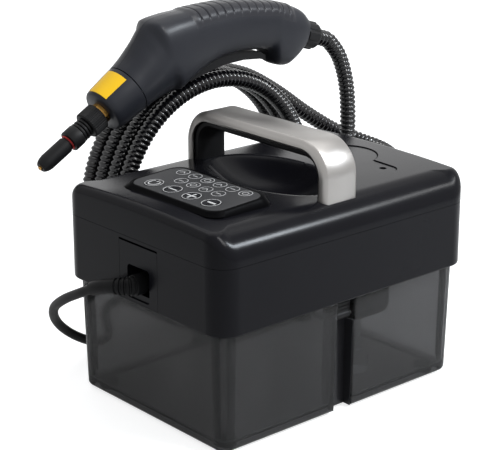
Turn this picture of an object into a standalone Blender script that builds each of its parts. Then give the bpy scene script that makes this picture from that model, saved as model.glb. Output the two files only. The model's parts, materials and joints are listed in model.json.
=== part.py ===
"""Steam cleaner: a head with keypad and carrying handle on a smoked water tub,
with a steam gun on a corrugated hose.  Metres, +Z up, -Y is the keypad side."""
import bpy
import bmesh
from math import acos, asin, atan2, ceil, cos, pi, radians, sin, sqrt, tan
from mathutils import Matrix, Vector

# Where the machine's middle stands, so that machine and gun together are centred on the origin
MACHINE_X = 0.0223
MACHINE_Y = -0.01057

GAP = 0.0003
WELD = 0.00001
OVERRUN = 0.004
CORNER_STEPS = 4
LID_STEPS = 12
TONGUE_STEPS = 3
ROUND_SIDES = 16

# Tub
FOOT_HEIGHT = 0.006
FOOT_RADIUS = 0.0078
FOOT_INSET = 0.020
TUB_HEIGHT = 0.103
TUB_WALL = 0.003
TUB_TAPER = 0.0025
TUB_BOTTOM_RADIUS = 0.007
GROOVE_WIDTH = 0.021
GROOVE_DEPTH = 0.013
GROOVE_FLOOR = 0.004

# Head
HEAD_WIDTH = 0.208
HEAD_LENGTH = 0.284
HEAD_CORNER = 0.020
HEAD_WALL = 0.0028
SKIRT_OVERLAP = 0.005
SKIRT_CLEARANCE = 0.0035
BODY_HEIGHT = 0.0570
BODY_EDGE = 0.0020
COVER_HEIGHT = 0.0295
SHOULDER = 0.024
CROWN_DROP = 0.0035
END_RADIUS = 0.007
GASKET_THICKNESS = 0.002
PLATE_THICKNESS = 0.003

# Finger well under the handle
WELL_HALF_X = 0.070
WELL_HALF_Y = 0.041
WELL_DEPTH = 0.024

# Carrying handle
HANDLE_HALF = 0.0895
HANDLE_RISE = 0.0445
HANDLE_WIDTH = 0.039
HANDLE_CORNER = 0.030
HANDLE_SHELL = 0.0045
HANDLE_LINING = 0.0065
HANDLE_BEVEL = 0.0045
HANDLE_SEAT = 0.0013

# Keypad
PANEL_X = 0.006
PANEL_Y = -0.0855
PANEL_WIDTH = 0.112
PANEL_LENGTH = 0.055
PANEL_CORNER = 0.012
PANEL_THICKNESS = 0.0012
PANEL_TILT = radians(3.0)
BEZEL_RIM = 0.0022
BEZEL_FLARE = 0.0062
BEZEL_RISE = 0.0045
BEZEL_PLUG = 0.0060
KEY_RADIUS = 0.0086
KEY_PITCH_SHARE = 0.21875
KEY_HEIGHT = 0.0036
KEY_TRAVEL = 0.0008
KEY_PROUD = 0.0003
KEY_ROW = -0.0145
LENS_RADIUS = 0.0052
LENS_PITCH_SHARE = 0.142857
LENS_ROWS = (0.0040, 0.0192)
LENS_COUNTS = (4, 6)
LENS_SHEET = 0.0010
BOARD_THICKNESS = 0.0016

# Filler lid
LID_X = 0.0
LID_Y = 0.0870
LID_RADIUS = 0.0320
LID_THICKNESS = 0.0022
LID_SINK = 0.0008
LID_PLUG = 0.0080
TONGUE_WIDTH = 0.019
TONGUE_REACH = 0.064
LID_HOLE = 0.0032
LID_HOLE_INSET = 0.013
NECK_BORE = 0.0150
NECK_WALL = 0.0022
NECK_FLANGE = 0.0190

# Latches in the grooves of the tub
LATCH_WIDTH = 0.0155
LATCH_HEIGHT = 0.0180
LATCH_THICKNESS = 0.0040
LATCH_PIN = 0.0015
LATCH_BARREL = 0.0032
LATCH_TOP_GAP = 0.0020

# Machinery in the head
BOILER_X = -0.062
BOILER_Y = 0.010
BOILER_RADIUS = 0.0250
BOILER_LENGTH = 0.130
BOILER_SADDLE = 0.004
PUMP_X = 0.060
PUMP_Y = -0.030
PUMP_RADIUS = 0.0165
PUMP_LENGTH = 0.070
VALVE_SIZE = 0.026
PIPE_RADIUS = 0.003
DROP_X = 0.071
DROP_Y = 0.0380
DROP_WIDTH = 0.038
DROP_LENGTH = 0.044
DROP_DEPTH = 0.036
DROP_CORNER = 0.008
SUCTION_RADIUS = 0.004
FILTER_RADIUS = 0.011
FILTER_HEIGHT = 0.018

# Hose
HOSE_RADIUS = 0.0080
HOSE_ROOT = 0.0069
HOSE_BORE = 0.0038
HOSE_TURNS = 3.5
HOSE_PITCH = 0.0168
HOSE_LOOP = 0.113
HOSE_LOOP_Y = 0.045
HOSE_LOOP_Z = 0.130
HOSE_WALL_GAP = 0.0030
HOSE_FLOOR = 0.0006
HOSE_RIBS = 120
CORE_SHARE = 0.65
FITTING_X = -0.062
FITTING_RISE = 0.034
FITTING_REACH = 0.026
FITTING_RADIUS = 0.0105
FITTING_FLANGE = 0.0140
HOSE_NUT_RADIUS = 0.0135
HOSE_NUT_LENGTH = 0.0200

# Mains cord
CORD_RADIUS = 0.0042
HATCH_WIDTH = 0.050
HATCH_LENGTH = 0.050
HATCH_SLOT = 0.0018
CORD_PORT_WIDTH = 0.029
CORD_PORT_RISE = 0.034
CORD_PORT_STEP_RISE = 0.005
CORD_PORT_DEPTH = 0.014
CORD_RISE = 0.0195
RELIEF_LENGTH = 0.040
RELIEF_BASE = 0.0088
RELIEF_TIP = 0.0060
RELIEF_RIBS = 6
COIL_X = -0.262
COIL_Y = 0.125
COIL_OUTER = 0.0580
COIL_PITCH = 0.0090
COIL_LOOPS = 3
COIL_FLOOR = 0.0022
TIE_THICKNESS = 0.0012
TIE_WIDTH = 0.008
PLUG_LENGTH = 0.048
PLUG_RADIUS = 0.0148
PLUG_LEAD = 0.036
PIN_RADIUS = 0.0024
PIN_LENGTH = 0.019
PIN_SPACING = 0.019

# Steam gun, in the plane X = GUN_X
GUN_X = -0.125
GUN_PITCH = radians(30.0)
BARREL_RADIUS = 0.0230
BARREL_FRONT = 0.0195
BARREL_LENGTH = 0.0330
BARREL_BORE = 0.0075
GUN_WALL = 0.0030
GUN_LENGTH = 0.2045
GUN_ARC_STEPS = 8
TRIGGER_WIDTH = 0.014
TRIGGER_SIDE_GAP = 0.0006
TRIGGER_Y = 0.0140
TRIGGER_RISE = 0.0160
TRIGGER_PIN = 0.0016
TRIGGER_PIN_LENGTH = 0.0180
SLOT_FRONT = 0.0100
SLOT_REAR = 0.0900
SLOT_RISE = 0.0145
PAD_RIBS = 13
PAD_THICKNESS = 0.0010
PAD_RELIEF = 0.0009
PAD_FACETS = 2
PAD_FIRST = 5
PAD_LAST = 12
NOZZLE_RING = 0.0098
NOZZLE_NUT = 0.0125
NOZZLE_NECK = 0.0085
NOZZLE_COLLAR = 0.0098
NOZZLE_TIP = 0.0074
NOZZLE_ORING = 0.0078
NOZZLE_BORE = 0.0020
NOZZLE_EDGE = 0.0010
BARREL_EDGE = 0.0020
VALVE_REACH = 0.0300
RING_LENGTH = 0.0045
NUT_LENGTH = 0.0155
NECK_LENGTH = 0.0100
COLLAR_LENGTH = 0.0115
SPIGOT_LENGTH = 0.0030
ORING_THICKNESS = 0.0015
TIP_LENGTH = 0.0312
TIP_TAPER = 0.0080
JET_PROUD = 0.0015

HALF_X = HEAD_WIDTH / 2
HALF_Y = HEAD_LENGTH / 2
TUB_HALF_X = HALF_X - HEAD_WALL - SKIRT_CLEARANCE
TUB_HALF_Y = HALF_Y - HEAD_WALL - SKIRT_CLEARANCE
TUB_CORNER = HEAD_CORNER - HEAD_WALL - SKIRT_CLEARANCE
TUB_RIM = FOOT_HEIGHT + TUB_HEIGHT
HEAD_BOTTOM = TUB_RIM - SKIRT_OVERLAP
SEAM = HEAD_BOTTOM + BODY_HEIGHT
CROWN = SEAM + COVER_HEIGHT
FITTING_Z = HEAD_BOTTOM + FITTING_RISE
CORD_Z = HEAD_BOTTOM + CORD_RISE
CORD_PORT_TOP = HEAD_BOTTOM + CORD_PORT_RISE
CORD_PORT_STEP = HEAD_BOTTOM + CORD_PORT_STEP_RISE
CORD_FLOOR = COIL_FLOOR + CORD_RADIUS
KEY_PITCH = PANEL_WIDTH * KEY_PITCH_SHARE
LENS_PITCH = PANEL_WIDTH * LENS_PITCH_SHARE
TRIGGER_Z = HOSE_LOOP_Z + HOSE_LOOP + TRIGGER_RISE
PLATE_BOTTOM = TUB_RIM + GASKET_THICKNESS + 2 * GAP
PLATE_TOP = PLATE_BOTTOM + PLATE_THICKNESS


def clear_scene():
    for item in list(bpy.data.objects):
        bpy.data.objects.remove(item, do_unlink=True)


clear_scene()
PARTS = bpy.data.collections.new("steam_cleaner")
CUTTERS = bpy.data.collections.new("cutters")
bpy.context.scene.collection.children.link(PARTS)
bpy.context.scene.collection.children.link(CUTTERS)


def material(name, color, roughness, metallic=0.0):
    made = bpy.data.materials.new(name)
    made.use_nodes = True
    shader = made.node_tree.nodes["Principled BSDF"]
    shader.inputs["Base Color"].default_value = (*color, 1.0)
    shader.inputs["Roughness"].default_value = roughness
    shader.inputs["Metallic"].default_value = metallic
    return made


HOUSING_BLACK = material("housing_black", (0.016, 0.017, 0.019), 0.38)
MATT_BLACK = material("matt_black", (0.012, 0.012, 0.014), 0.60)
SMOKED = material("smoked_tub", (0.055, 0.058, 0.060), 0.16)
SILVER = material("satin_silver", (0.60, 0.59, 0.57), 0.30, 0.8)
PANEL_GREY = material("panel_grey", (0.045, 0.046, 0.048), 0.35)
KEY_DARK = material("key_dark", (0.020, 0.021, 0.023), 0.30)
RUBBER = material("rubber_black", (0.015, 0.015, 0.015), 0.75)
HOSE_BLACK = material("hose_black", (0.012, 0.013, 0.015), 0.42)
BRASS = material("brass", (0.55, 0.36, 0.12), 0.28, 1.0)
STEEL = material("steel", (0.55, 0.56, 0.57), 0.30, 1.0)
RED_SEAL = material("red_seal", (0.45, 0.03, 0.03), 0.45)
BOARD_GREEN = material("board_green", (0.02, 0.16, 0.07), 0.45)


def empty(name, location, parent=None, rotation=(0.0, 0.0, 0.0)):
    made = bpy.data.objects.new(name, None)
    PARTS.objects.link(made)
    made.parent = parent
    made.location = location
    made.rotation_euler = rotation
    return made


MACHINE = empty("machine", (MACHINE_X, MACHINE_Y, 0.0))


def put(name, mesh, paint, location=(0.0, 0.0, 0.0), rotation=(0.0, 0.0, 0.0), parent=MACHINE):
    """Make the node NAME from a mesh; its location is in its parent's frame."""
    made = bpy.data.objects.new(name, mesh)
    PARTS.objects.link(made)
    made.parent = parent
    made.location = location
    made.rotation_euler = rotation
    mesh.materials.clear()
    mesh.materials.append(paint)
    mesh.shade_smooth()
    mesh.set_sharp_from_angle(angle=radians(35.0))
    return made


def finish_mesh(bm, name):
    bmesh.ops.recalc_face_normals(bm, faces=bm.faces)
    mesh = bpy.data.meshes.new(name)
    bm.to_mesh(mesh)
    bm.free()
    return mesh


def loft(name, rings, closed=False):
    """Skin rings of equal point counts; the ends are capped unless the rings close on themselves."""
    bm = bmesh.new()
    rows = [[bm.verts.new(point) for point in ring] for ring in rings]
    count = len(rows[0])
    pairs = list(zip(rows, rows[1:]))
    if closed:
        pairs.append((rows[-1], rows[0]))
    for low, high in pairs:
        for k in range(count):
            following = (k + 1) % count
            bm.faces.new((low[k], low[following], high[following], high[k]))
    if not closed:
        bm.faces.new(list(reversed(rows[0])))
        bm.faces.new(rows[-1])
    return finish_mesh(bm, name)


def arc(center, radius, start, end, steps):
    """Points of an arc as pairs, angles in degrees."""
    turns = [radians(start + (end - start) * k / steps) for k in range(steps + 1)]
    return [(center[0] + radius * cos(turn), center[1] + radius * sin(turn)) for turn in turns]


def rounded_outline(half_x, half_y, radius, steps=CORNER_STEPS, splits=1):
    """Rounded rectangle, counter-clockwise; the sides along X get SPLITS spans."""
    points = []
    for side_x, side_y, start in ((1, 1, 0), (-1, 1, 90), (-1, -1, 180), (1, -1, 270)):
        center = (side_x * (half_x - radius), side_y * (half_y - radius))
        corner = arc(center, radius, start, start + 90, steps)
        points += corner
        if side_x * side_y > 0:
            end = corner[-1]
            for k in range(1, splits):
                points.append((end[0] * (1 - 2 * k / splits), end[1]))
    return points


def level_ring(half_x, half_y, radius, height, center=(0.0, 0.0), steps=CORNER_STEPS, splits=1):
    outline = rounded_outline(half_x, half_y, radius, steps, splits)
    return [Vector((center[0] + x, center[1] + y, height)) for x, y in outline]


def evaluated_mesh(made):
    """The mesh that an object's modifiers or curve settings give; the object itself is removed."""
    bpy.context.scene.collection.objects.link(made)
    bpy.context.view_layer.update()
    mesh = bpy.data.meshes.new_from_object(made.evaluated_get(bpy.context.evaluated_depsgraph_get()))
    bpy.data.objects.remove(made, do_unlink=True)
    bm = bmesh.new()
    bm.from_mesh(mesh)
    bmesh.ops.remove_doubles(bm, verts=bm.verts, dist=WELD)
    bmesh.ops.recalc_face_normals(bm, faces=bm.faces)
    bm.to_mesh(mesh)
    bm.free()
    return mesh


def turned(name, profile, sides=ROUND_SIDES):
    """Solid turned round Z from (radius, height) pairs; a profile off the axis closes on itself."""
    count = len(profile)
    edges = [(k, k + 1) for k in range(count - 1)]
    if profile[0][0] > 0:
        edges.append((count - 1, 0))
    mesh = bpy.data.meshes.new(name)
    mesh.from_pydata([(radius, 0.0, height) for radius, height in profile], edges, [])
    made = bpy.data.objects.new(name, mesh)
    screw = made.modifiers.new("turn", "SCREW")
    screw.steps = sides
    screw.render_steps = sides
    screw.use_merge_vertices = True
    screw.merge_threshold = WELD
    return evaluated_mesh(made)


def rod(name, radius, length, sides=ROUND_SIDES, edge=0.0):
    """Cylinder on Z from 0 to LENGTH, with a small chamfer EDGE at both ends."""
    bm = bmesh.new()
    bmesh.ops.create_cone(bm, cap_ends=True, segments=sides, radius1=radius, radius2=radius, depth=length,
                          matrix=Matrix.Translation((0.0, 0.0, length / 2)))
    if edge:
        rims = [e for e in bm.edges if e.verts[0].co.z == e.verts[1].co.z]
        bmesh.ops.bevel(bm, geom=rims, offset=edge, segments=1, affect="EDGES")
    return finish_mesh(bm, name)


def block(name, size, center=(0.0, 0.0, 0.0), edge=0.0):
    bm = bmesh.new()
    bmesh.ops.create_cube(bm, size=1.0)
    bmesh.ops.scale(bm, vec=size, verts=bm.verts)
    bmesh.ops.translate(bm, vec=center, verts=bm.verts)
    if edge:
        bmesh.ops.bevel(bm, geom=bm.edges, offset=edge, segments=2, affect="EDGES", profile=0.5)
    return finish_mesh(bm, name)


def moved(mesh, location=(0.0, 0.0, 0.0), rotation=None):
    """Shift (and first turn) a mesh in place."""
    if rotation is not None:
        mesh.transform(rotation)
    mesh.transform(Matrix.Translation(Vector(location)))
    return mesh


FROM_X = Matrix.Rotation(radians(-90.0), 4, "Y")
TO_Y = Matrix.Rotation(radians(-90.0), 4, "X")


def tool(name, mesh, parent=MACHINE, location=(0.0, 0.0, 0.0), rotation=(0.0, 0.0, 0.0)):
    """An object that cuts or joins others and isn't a piece itself."""
    made = bpy.data.objects.new(name, mesh)
    CUTTERS.objects.link(made)
    made.parent = parent
    made.location = location
    made.rotation_euler = rotation
    made.hide_render = True
    made.display_type = "WIRE"
    return made


def boolean(target, other, operation):
    step = target.modifiers.new(operation.lower() + "_" + other.name, "BOOLEAN")
    step.operation = operation
    step.object = other


def cut(target, other):
    boolean(target, other, "DIFFERENCE")


def join(target, other):
    boolean(target, other, "UNION")


def tub():
    """Open smoked tub with a latch groove in the middle of each long side."""
    def ring(inset, height):
        lean = TUB_TAPER * (TUB_RIM - height) / TUB_HEIGHT
        inset += lean
        return level_ring(TUB_HALF_X - inset, TUB_HALF_Y - inset, TUB_CORNER - inset, height)

    shares = ((1.0, 0.0), (0.4, 0.12), (0.1, 0.45), (0.0, 1.0))
    outer = [ring(TUB_BOTTOM_RADIUS * a, FOOT_HEIGHT + TUB_BOTTOM_RADIUS * b) for a, b in shares]
    outer.append(ring(0.0, TUB_RIM))
    inner_floor = FOOT_HEIGHT + TUB_WALL
    inner = [ring(TUB_WALL + TUB_BOTTOM_RADIUS * a / 2, inner_floor + TUB_BOTTOM_RADIUS * b / 2)
             for a, b in ((1.0, 0.0), (0.3, 0.3), (0.0, 1.0))]
    inner.append(ring(TUB_WALL, TUB_RIM + OVERRUN))
    body = put("tub", loft("tub", outer), SMOKED)
    cavity = tool("tub_cavity", loft("tub_cavity", inner))
    for side, mark in ((-1, "left"), (1, "right")):
        wall_reach = GROOVE_DEPTH + TUB_WALL
        wall = block("groove_wall", (2 * wall_reach, GROOVE_WIDTH + 2 * TUB_WALL, 2 * TUB_RIM),
                     (side * TUB_HALF_X, 0.0, 0.0))
        cut(cavity, tool("groove_wall_" + mark, wall))
        slot = block("groove", (2 * GROOVE_DEPTH, GROOVE_WIDTH, TUB_RIM),
                     (side * TUB_HALF_X, 0.0, FOOT_HEIGHT + GROOVE_FLOOR + TUB_RIM / 2))
        cut(body, tool("groove_" + mark, slot))
    cut(body, cavity)
    for side_x in (-1, 1):
        for side_y in (-1, 1):
            name = "foot_%s_%s" % ("right" if side_x > 0 else "left", "rear" if side_y > 0 else "front")
            place = (side_x * (TUB_HALF_X - FOOT_INSET), side_y * (TUB_HALF_Y - FOOT_INSET), 0.0)
            profile = [(0.0, 0.0), (FOOT_RADIUS * 0.8, 0.0), (FOOT_RADIUS, FOOT_HEIGHT * 0.25),
                       (FOOT_RADIUS, FOOT_HEIGHT - GAP), (0.0, FOOT_HEIGHT - GAP)]
            put(name, turned(name, profile, 12), RUBBER, place)


def latches():
    """A spring latch in each groove, its pin held by the groove's side walls."""
    pivot_x = TUB_HALF_X - GROOVE_DEPTH / 2
    pivot_z = HEAD_BOTTOM - LATCH_TOP_GAP - LATCH_HEIGHT + LATCH_BARREL
    for side, mark in ((-1, "left"), (1, "right")):
        place = (side * pivot_x, 0.0, pivot_z)
        reach = LATCH_HEIGHT - LATCH_BARREL
        plate = put("latch_" + mark, block("latch", (LATCH_THICKNESS, LATCH_WIDTH, reach),
                                           (0.0, 0.0, reach / 2)), MATT_BLACK, place)
        barrel = moved(rod("latch_barrel", LATCH_BARREL, LATCH_WIDTH), (0.0, -LATCH_WIDTH / 2, 0.0), TO_Y)
        join(plate, tool("latch_barrel_" + mark, barrel, location=place))
        bore = moved(rod("latch_bore", LATCH_PIN + GAP, 2 * LATCH_WIDTH, 12), (0.0, -LATCH_WIDTH, 0.0), TO_Y)
        cut(plate, tool("latch_bore_" + mark, bore, location=place))
        length = GROOVE_WIDTH - 2 * GAP
        pin = moved(rod("latch_pin", LATCH_PIN, length, 12), (0.0, -length / 2, 0.0), TO_Y)
        put("latch_pin_" + mark, pin, STEEL, place)


def crown_height(x, shoulder, half_x, top):
    """Height of the cover over the middle line: a gentle crown that rolls into the long sides."""
    height = top - CROWN_DROP * (x / half_x) ** 2
    into = abs(x) - (half_x - shoulder)
    if into > 0:
        height -= shoulder - sqrt(max(shoulder ** 2 - into ** 2, 0.0))
    return height


def cover_ring(inset, half_x, half_y, corner, shoulder, end, top):
    """One ring of the cover, INSET from its plan outline, lying on the crowned surface."""
    radius = max(corner - inset, corner / 4)
    ring = []
    for x, y in rounded_outline(half_x - inset, half_y - inset, radius, CORNER_STEPS, 4):
        into_x = max(abs(x) - (half_x - inset - radius), 0.0)
        into_y = max(abs(y) - (half_y - inset - radius), 0.0)
        across = into_y ** 2 / max(into_x ** 2 + into_y ** 2, 1e-12)
        roll = end - sqrt(max(end ** 2 - max(end - inset, 0.0) ** 2, 0.0))
        height = crown_height(x, shoulder, half_x, top) - across * roll
        ring.append(Vector((x, y, height)))
    return ring


def top_cover():
    """Crowned cover with the finger well, the openings of keypad and filler, and the lid's recess."""
    end_shares, shoulder_shares = (0.0, 0.14, 0.5, 1.0), (0.5, 1.0, 2.2)
    outer_insets = [END_RADIUS * share for share in end_shares] + [SHOULDER * share for share in shoulder_shares]
    inner_insets = [END_RADIUS * share for share in end_shares[0::2]]
    inner_insets += [SHOULDER * share for share in (shoulder_shares[0] * 0.9, shoulder_shares[2])]
    inner = [cover_ring(inset, HALF_X - HEAD_WALL, HALF_Y - HEAD_WALL, HEAD_CORNER - HEAD_WALL,
                        SHOULDER - HEAD_WALL, END_RADIUS - HEAD_WALL, CROWN - HEAD_WALL)
             for inset in inner_insets]
    outer = [cover_ring(inset, HALF_X, HALF_Y, HEAD_CORNER, SHOULDER, END_RADIUS, CROWN)
             for inset in outer_insets]
    low_inner = [Vector((p.x, p.y, SEAM + GAP)) for p in inner[0]]
    low_outer = [Vector((p.x, p.y, SEAM + GAP)) for p in outer[0]]
    rings = list(reversed(inner)) + [low_inner, low_outer] + outer
    shell = loft("top_cover", rings)
    bm = bmesh.new()
    bm.from_mesh(shell)
    bmesh.ops.triangulate(bm, faces=[face for face in bm.faces if len(face.verts) > 4])
    bm.to_mesh(shell)
    bm.free()
    cover = put("top_cover", shell, HOUSING_BLACK)

    rim = CROWN - 0.9 * HEAD_WALL

    def bowl(name, grow, top):
        rings = []
        for share in (0.96, 0.8, 0.5, 0.2):
            turn = asin(share)
            rings.append([Vector(((WELL_HALF_X + grow) * cos(turn) * cos(2 * pi * k / 18),
                                  (WELL_HALF_Y + grow) * cos(turn) * sin(2 * pi * k / 18),
                                  rim - (WELL_DEPTH + grow) * share)) for k in range(18)])
        for level in (rim, top):
            rings.append([Vector(((WELL_HALF_X + grow) * cos(2 * pi * k / 18),
                                  (WELL_HALF_Y + grow) * sin(2 * pi * k / 18), level)) for k in range(18)])
        if top == rim:
            rings.pop()
        return loft(name, rings)

    join(cover, tool("well_wall", bowl("well_wall", HEAD_WALL, rim)))
    cut(cover, tool("well_scoop", bowl("well_scoop", 0.0, CROWN + OVERRUN)))

    half_x = PANEL_WIDTH / 2 + BEZEL_RIM + BEZEL_FLARE / 2 + GAP
    half_y = PANEL_LENGTH / 2 + BEZEL_RIM + BEZEL_FLARE / 2 + GAP
    window = [level_ring(half_x, half_y, PANEL_CORNER, z, (PANEL_X, PANEL_Y), 4)
              for z in (CROWN - HEAD_WALL - BEZEL_PLUG, CROWN + OVERRUN)]
    cut(cover, tool("keypad_window", loft("keypad_window", window)))

    sink = LID_SINK + LID_THICKNESS + GAP
    join(cover, tool("lid_pocket_wall", lid_slab("lid_pocket_wall", GAP + HEAD_WALL, sink + HEAD_WALL,
                                                 0.7 * HEAD_WALL)))
    cut(cover, tool("lid_pocket", lid_slab("lid_pocket", GAP, sink)))
    floor = lid_floor()
    hole = rod("filler_hole", NECK_BORE + NECK_WALL + GAP, 4 * HEAD_WALL + LID_THICKNESS)
    cut(cover, tool("filler_hole", hole, location=(LID_X, LID_Y, floor - 2 * HEAD_WALL)))


def lid_top():
    return CROWN - LID_SINK


def lid_floor():
    return lid_top() - LID_THICKNESS - GAP


def lid_stations(grow):
    """Places along X with the half width of plate and tongue there, from the plate's -X side to the tongue's end."""
    radius = LID_RADIUS + grow
    half = TONGUE_WIDTH / 2 + grow
    reach = TONGUE_REACH + grow
    begin = asin(half / radius)
    stations = []
    for k in range(LID_STEPS + 1):
        turn = begin + (pi - begin) * (1 - (k + 0.5) / (LID_STEPS + 0.5))
        stations.append((radius * cos(turn), radius * sin(turn)))
    for k in range(TONGUE_STEPS + 1):
        turn = pi / 2 * (1 - k / (TONGUE_STEPS + 0.5))
        stations.append((reach - half + half * cos(turn), half * sin(turn)))
    return stations


def lid_slab(name, grow, low, high=None):
    """Plate and tongue between two depths below the crowned cover, or up through it where HIGH is left out."""
    rings = []
    for x, half in lid_stations(grow):
        crown = crown_height(LID_X + x, SHOULDER, HALF_X, CROWN)
        top = CROWN + OVERRUN if high is None else crown - high
        rings.append([Vector((LID_X + x, LID_Y - half, crown - low)), Vector((LID_X + x, LID_Y + half, crown - low)),
                      Vector((LID_X + x, LID_Y + half, top)), Vector((LID_X + x, LID_Y - half, top))])
    return loft(name, rings)


def filler_lid():
    """Flush cap that pulls straight up by its tongue; its plug seats in the filler neck."""
    place = Vector((LID_X, LID_Y, lid_top()))
    slab = moved(lid_slab("filler_lid", -GAP, LID_SINK + LID_THICKNESS, LID_SINK), -place)
    lid = put("filler_lid", slab, HOUSING_BLACK, place)
    plug = rod("lid_plug", NECK_BORE - 2 * GAP, LID_PLUG + LID_THICKNESS / 2)
    join(lid, tool("lid_plug", plug, location=(LID_X, LID_Y, lid_top() - LID_THICKNESS - LID_PLUG)))
    dot = rod("lid_dot", LID_HOLE, 4 * LID_THICKNESS, 12)
    cut(lid, tool("lid_dot", dot, location=(LID_X + TONGUE_REACH - LID_HOLE_INSET, LID_Y,
                                            lid_top() - 2 * LID_THICKNESS)))


def filler_neck():
    top = lid_floor()
    length = top - PLATE_BOTTOM + 2 * GAP
    outer = NECK_BORE + NECK_WALL
    flange_z = lid_floor() - HEAD_WALL - GAP - (PLATE_BOTTOM - 2 * GAP)
    profile = [(NECK_BORE, 0.0), (outer, 0.0), (outer, flange_z - HEAD_WALL), (NECK_FLANGE, flange_z - HEAD_WALL),
               (NECK_FLANGE, flange_z), (outer, flange_z), (outer, length), (NECK_BORE, length)]
    put("filler_neck", turned("filler_neck", profile), MATT_BLACK, (LID_X, LID_Y, PLATE_BOTTOM - 2 * GAP))


def housing_body():
    """Open band that carries the cover, with the hatch opening and the hose fitting's hole."""
    def ring(inset, height):
        return level_ring(HALF_X - inset, HALF_Y - inset, HEAD_CORNER - inset, height)

    rings = [ring(BODY_EDGE, HEAD_BOTTOM), ring(BODY_EDGE * 0.3, HEAD_BOTTOM + BODY_EDGE * 0.3),
             ring(0.0, HEAD_BOTTOM + BODY_EDGE), ring(0.0, SEAM), ring(HEAD_WALL, SEAM),
             ring(HEAD_WALL, HEAD_BOTTOM)]
    body = put("housing_body", loft("housing_body", rings, closed=True), HOUSING_BLACK)
    hatch_z = HEAD_BOTTOM + BODY_EDGE + GAP + HATCH_LENGTH / 2
    opening = block("hatch_opening", (HATCH_WIDTH + 2 * GAP, 4 * HEAD_WALL, HATCH_LENGTH + GAP + HATCH_SLOT),
                    (0.0, -HALF_Y, hatch_z + (HATCH_SLOT - GAP) / 2))
    cut(body, tool("hatch_opening", opening))
    hole = moved(rod("fitting_hole", FITTING_RADIUS + GAP, 4 * HEAD_WALL), (0.0, -2 * HEAD_WALL, 0.0), TO_Y)
    cut(body, tool("fitting_hole", hole, location=(FITTING_X, HALF_Y, FITTING_Z)))


def cord_hatch():
    """Service hatch in the -Y wall; the cord leaves through the pocket in it."""
    hatch_z = HEAD_BOTTOM + BODY_EDGE + GAP + HATCH_LENGTH / 2
    plate = put("cord_hatch", block("cord_hatch", (HATCH_WIDTH, HEAD_WALL, HATCH_LENGTH),
                                    (0.0, -HALF_Y + HEAD_WALL / 2, hatch_z)), HOUSING_BLACK)
    depth = CORD_PORT_DEPTH
    low = PLATE_BOTTOM
    high = CORD_PORT_TOP + HEAD_WALL
    box = block("port_box", (CORD_PORT_WIDTH + 2 * HEAD_WALL, depth + HEAD_WALL, high - low),
                (0.0, -HALF_Y + HEAD_WALL / 2 + (depth + HEAD_WALL) / 2, (high + low) / 2))
    join(plate, tool("port_box", box))
    low += HEAD_WALL
    hole = block("port", (CORD_PORT_WIDTH, 2 * depth, CORD_PORT_TOP - low),
                 (0.0, -HALF_Y, (CORD_PORT_TOP + low) / 2))
    cut(plate, tool("port", hole))
    step = block("port_step", (CORD_PORT_WIDTH, HEAD_WALL, CORD_PORT_TOP - CORD_PORT_STEP),
                 (0.0, -HALF_Y, (CORD_PORT_TOP + CORD_PORT_STEP) / 2))
    cut(plate, tool("port_step", step))
    through = moved(rod("relief_hole", RELIEF_BASE + GAP, 4 * depth), (0.0, -2 * depth, 0.0), TO_Y)
    cut(plate, tool("relief_hole", through, location=(0.0, -HALF_Y, CORD_Z)))


def base_plate():
    """Floor of the head; it rests on the tub's rim through a gasket."""
    half_x = HALF_X - HEAD_WALL - GAP
    half_y = HALF_Y - HEAD_WALL - GAP
    corner = HEAD_CORNER - HEAD_WALL - GAP
    rings = [level_ring(half_x, half_y, corner, z) for z in (PLATE_BOTTOM, PLATE_TOP)]
    plate = put("base_plate", loft("base_plate", rings), MATT_BLACK)
    filler = rod("plate_filler", NECK_BORE + NECK_WALL + GAP, 3 * PLATE_THICKNESS)
    cut(plate, tool("plate_filler", filler, location=(LID_X, LID_Y, PLATE_BOTTOM - PLATE_THICKNESS)))
    suction = rod("plate_suction", SUCTION_RADIUS + GAP, 3 * PLATE_THICKNESS, 14)
    cut(plate, tool("plate_suction", suction, location=(DROP_X, DROP_Y, PLATE_BOTTOM - PLATE_THICKNESS)))
    notch = block("plate_notch", (CORD_PORT_WIDTH + 2 * (HEAD_WALL + GAP), 2 * (CORD_PORT_DEPTH + 1.5 * HEAD_WALL
                                                                                 + GAP), 3 * PLATE_THICKNESS),
                  (0.0, -HALF_Y, PLATE_TOP))
    cut(plate, tool("plate_notch", notch))
    band = TUB_WALL + 2 * GAP
    outer = [level_ring(TUB_HALF_X, TUB_HALF_Y, TUB_CORNER, z)
             for z in (TUB_RIM + GAP, TUB_RIM + GAP + GASKET_THICKNESS)]
    inner = [level_ring(TUB_HALF_X - band, TUB_HALF_Y - band, TUB_CORNER - band, z)
             for z in (TUB_RIM + GAP + GASKET_THICKNESS, TUB_RIM + GAP)]
    put("tub_gasket", loft("tub_gasket", outer + inner, closed=True), RUBBER)


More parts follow.
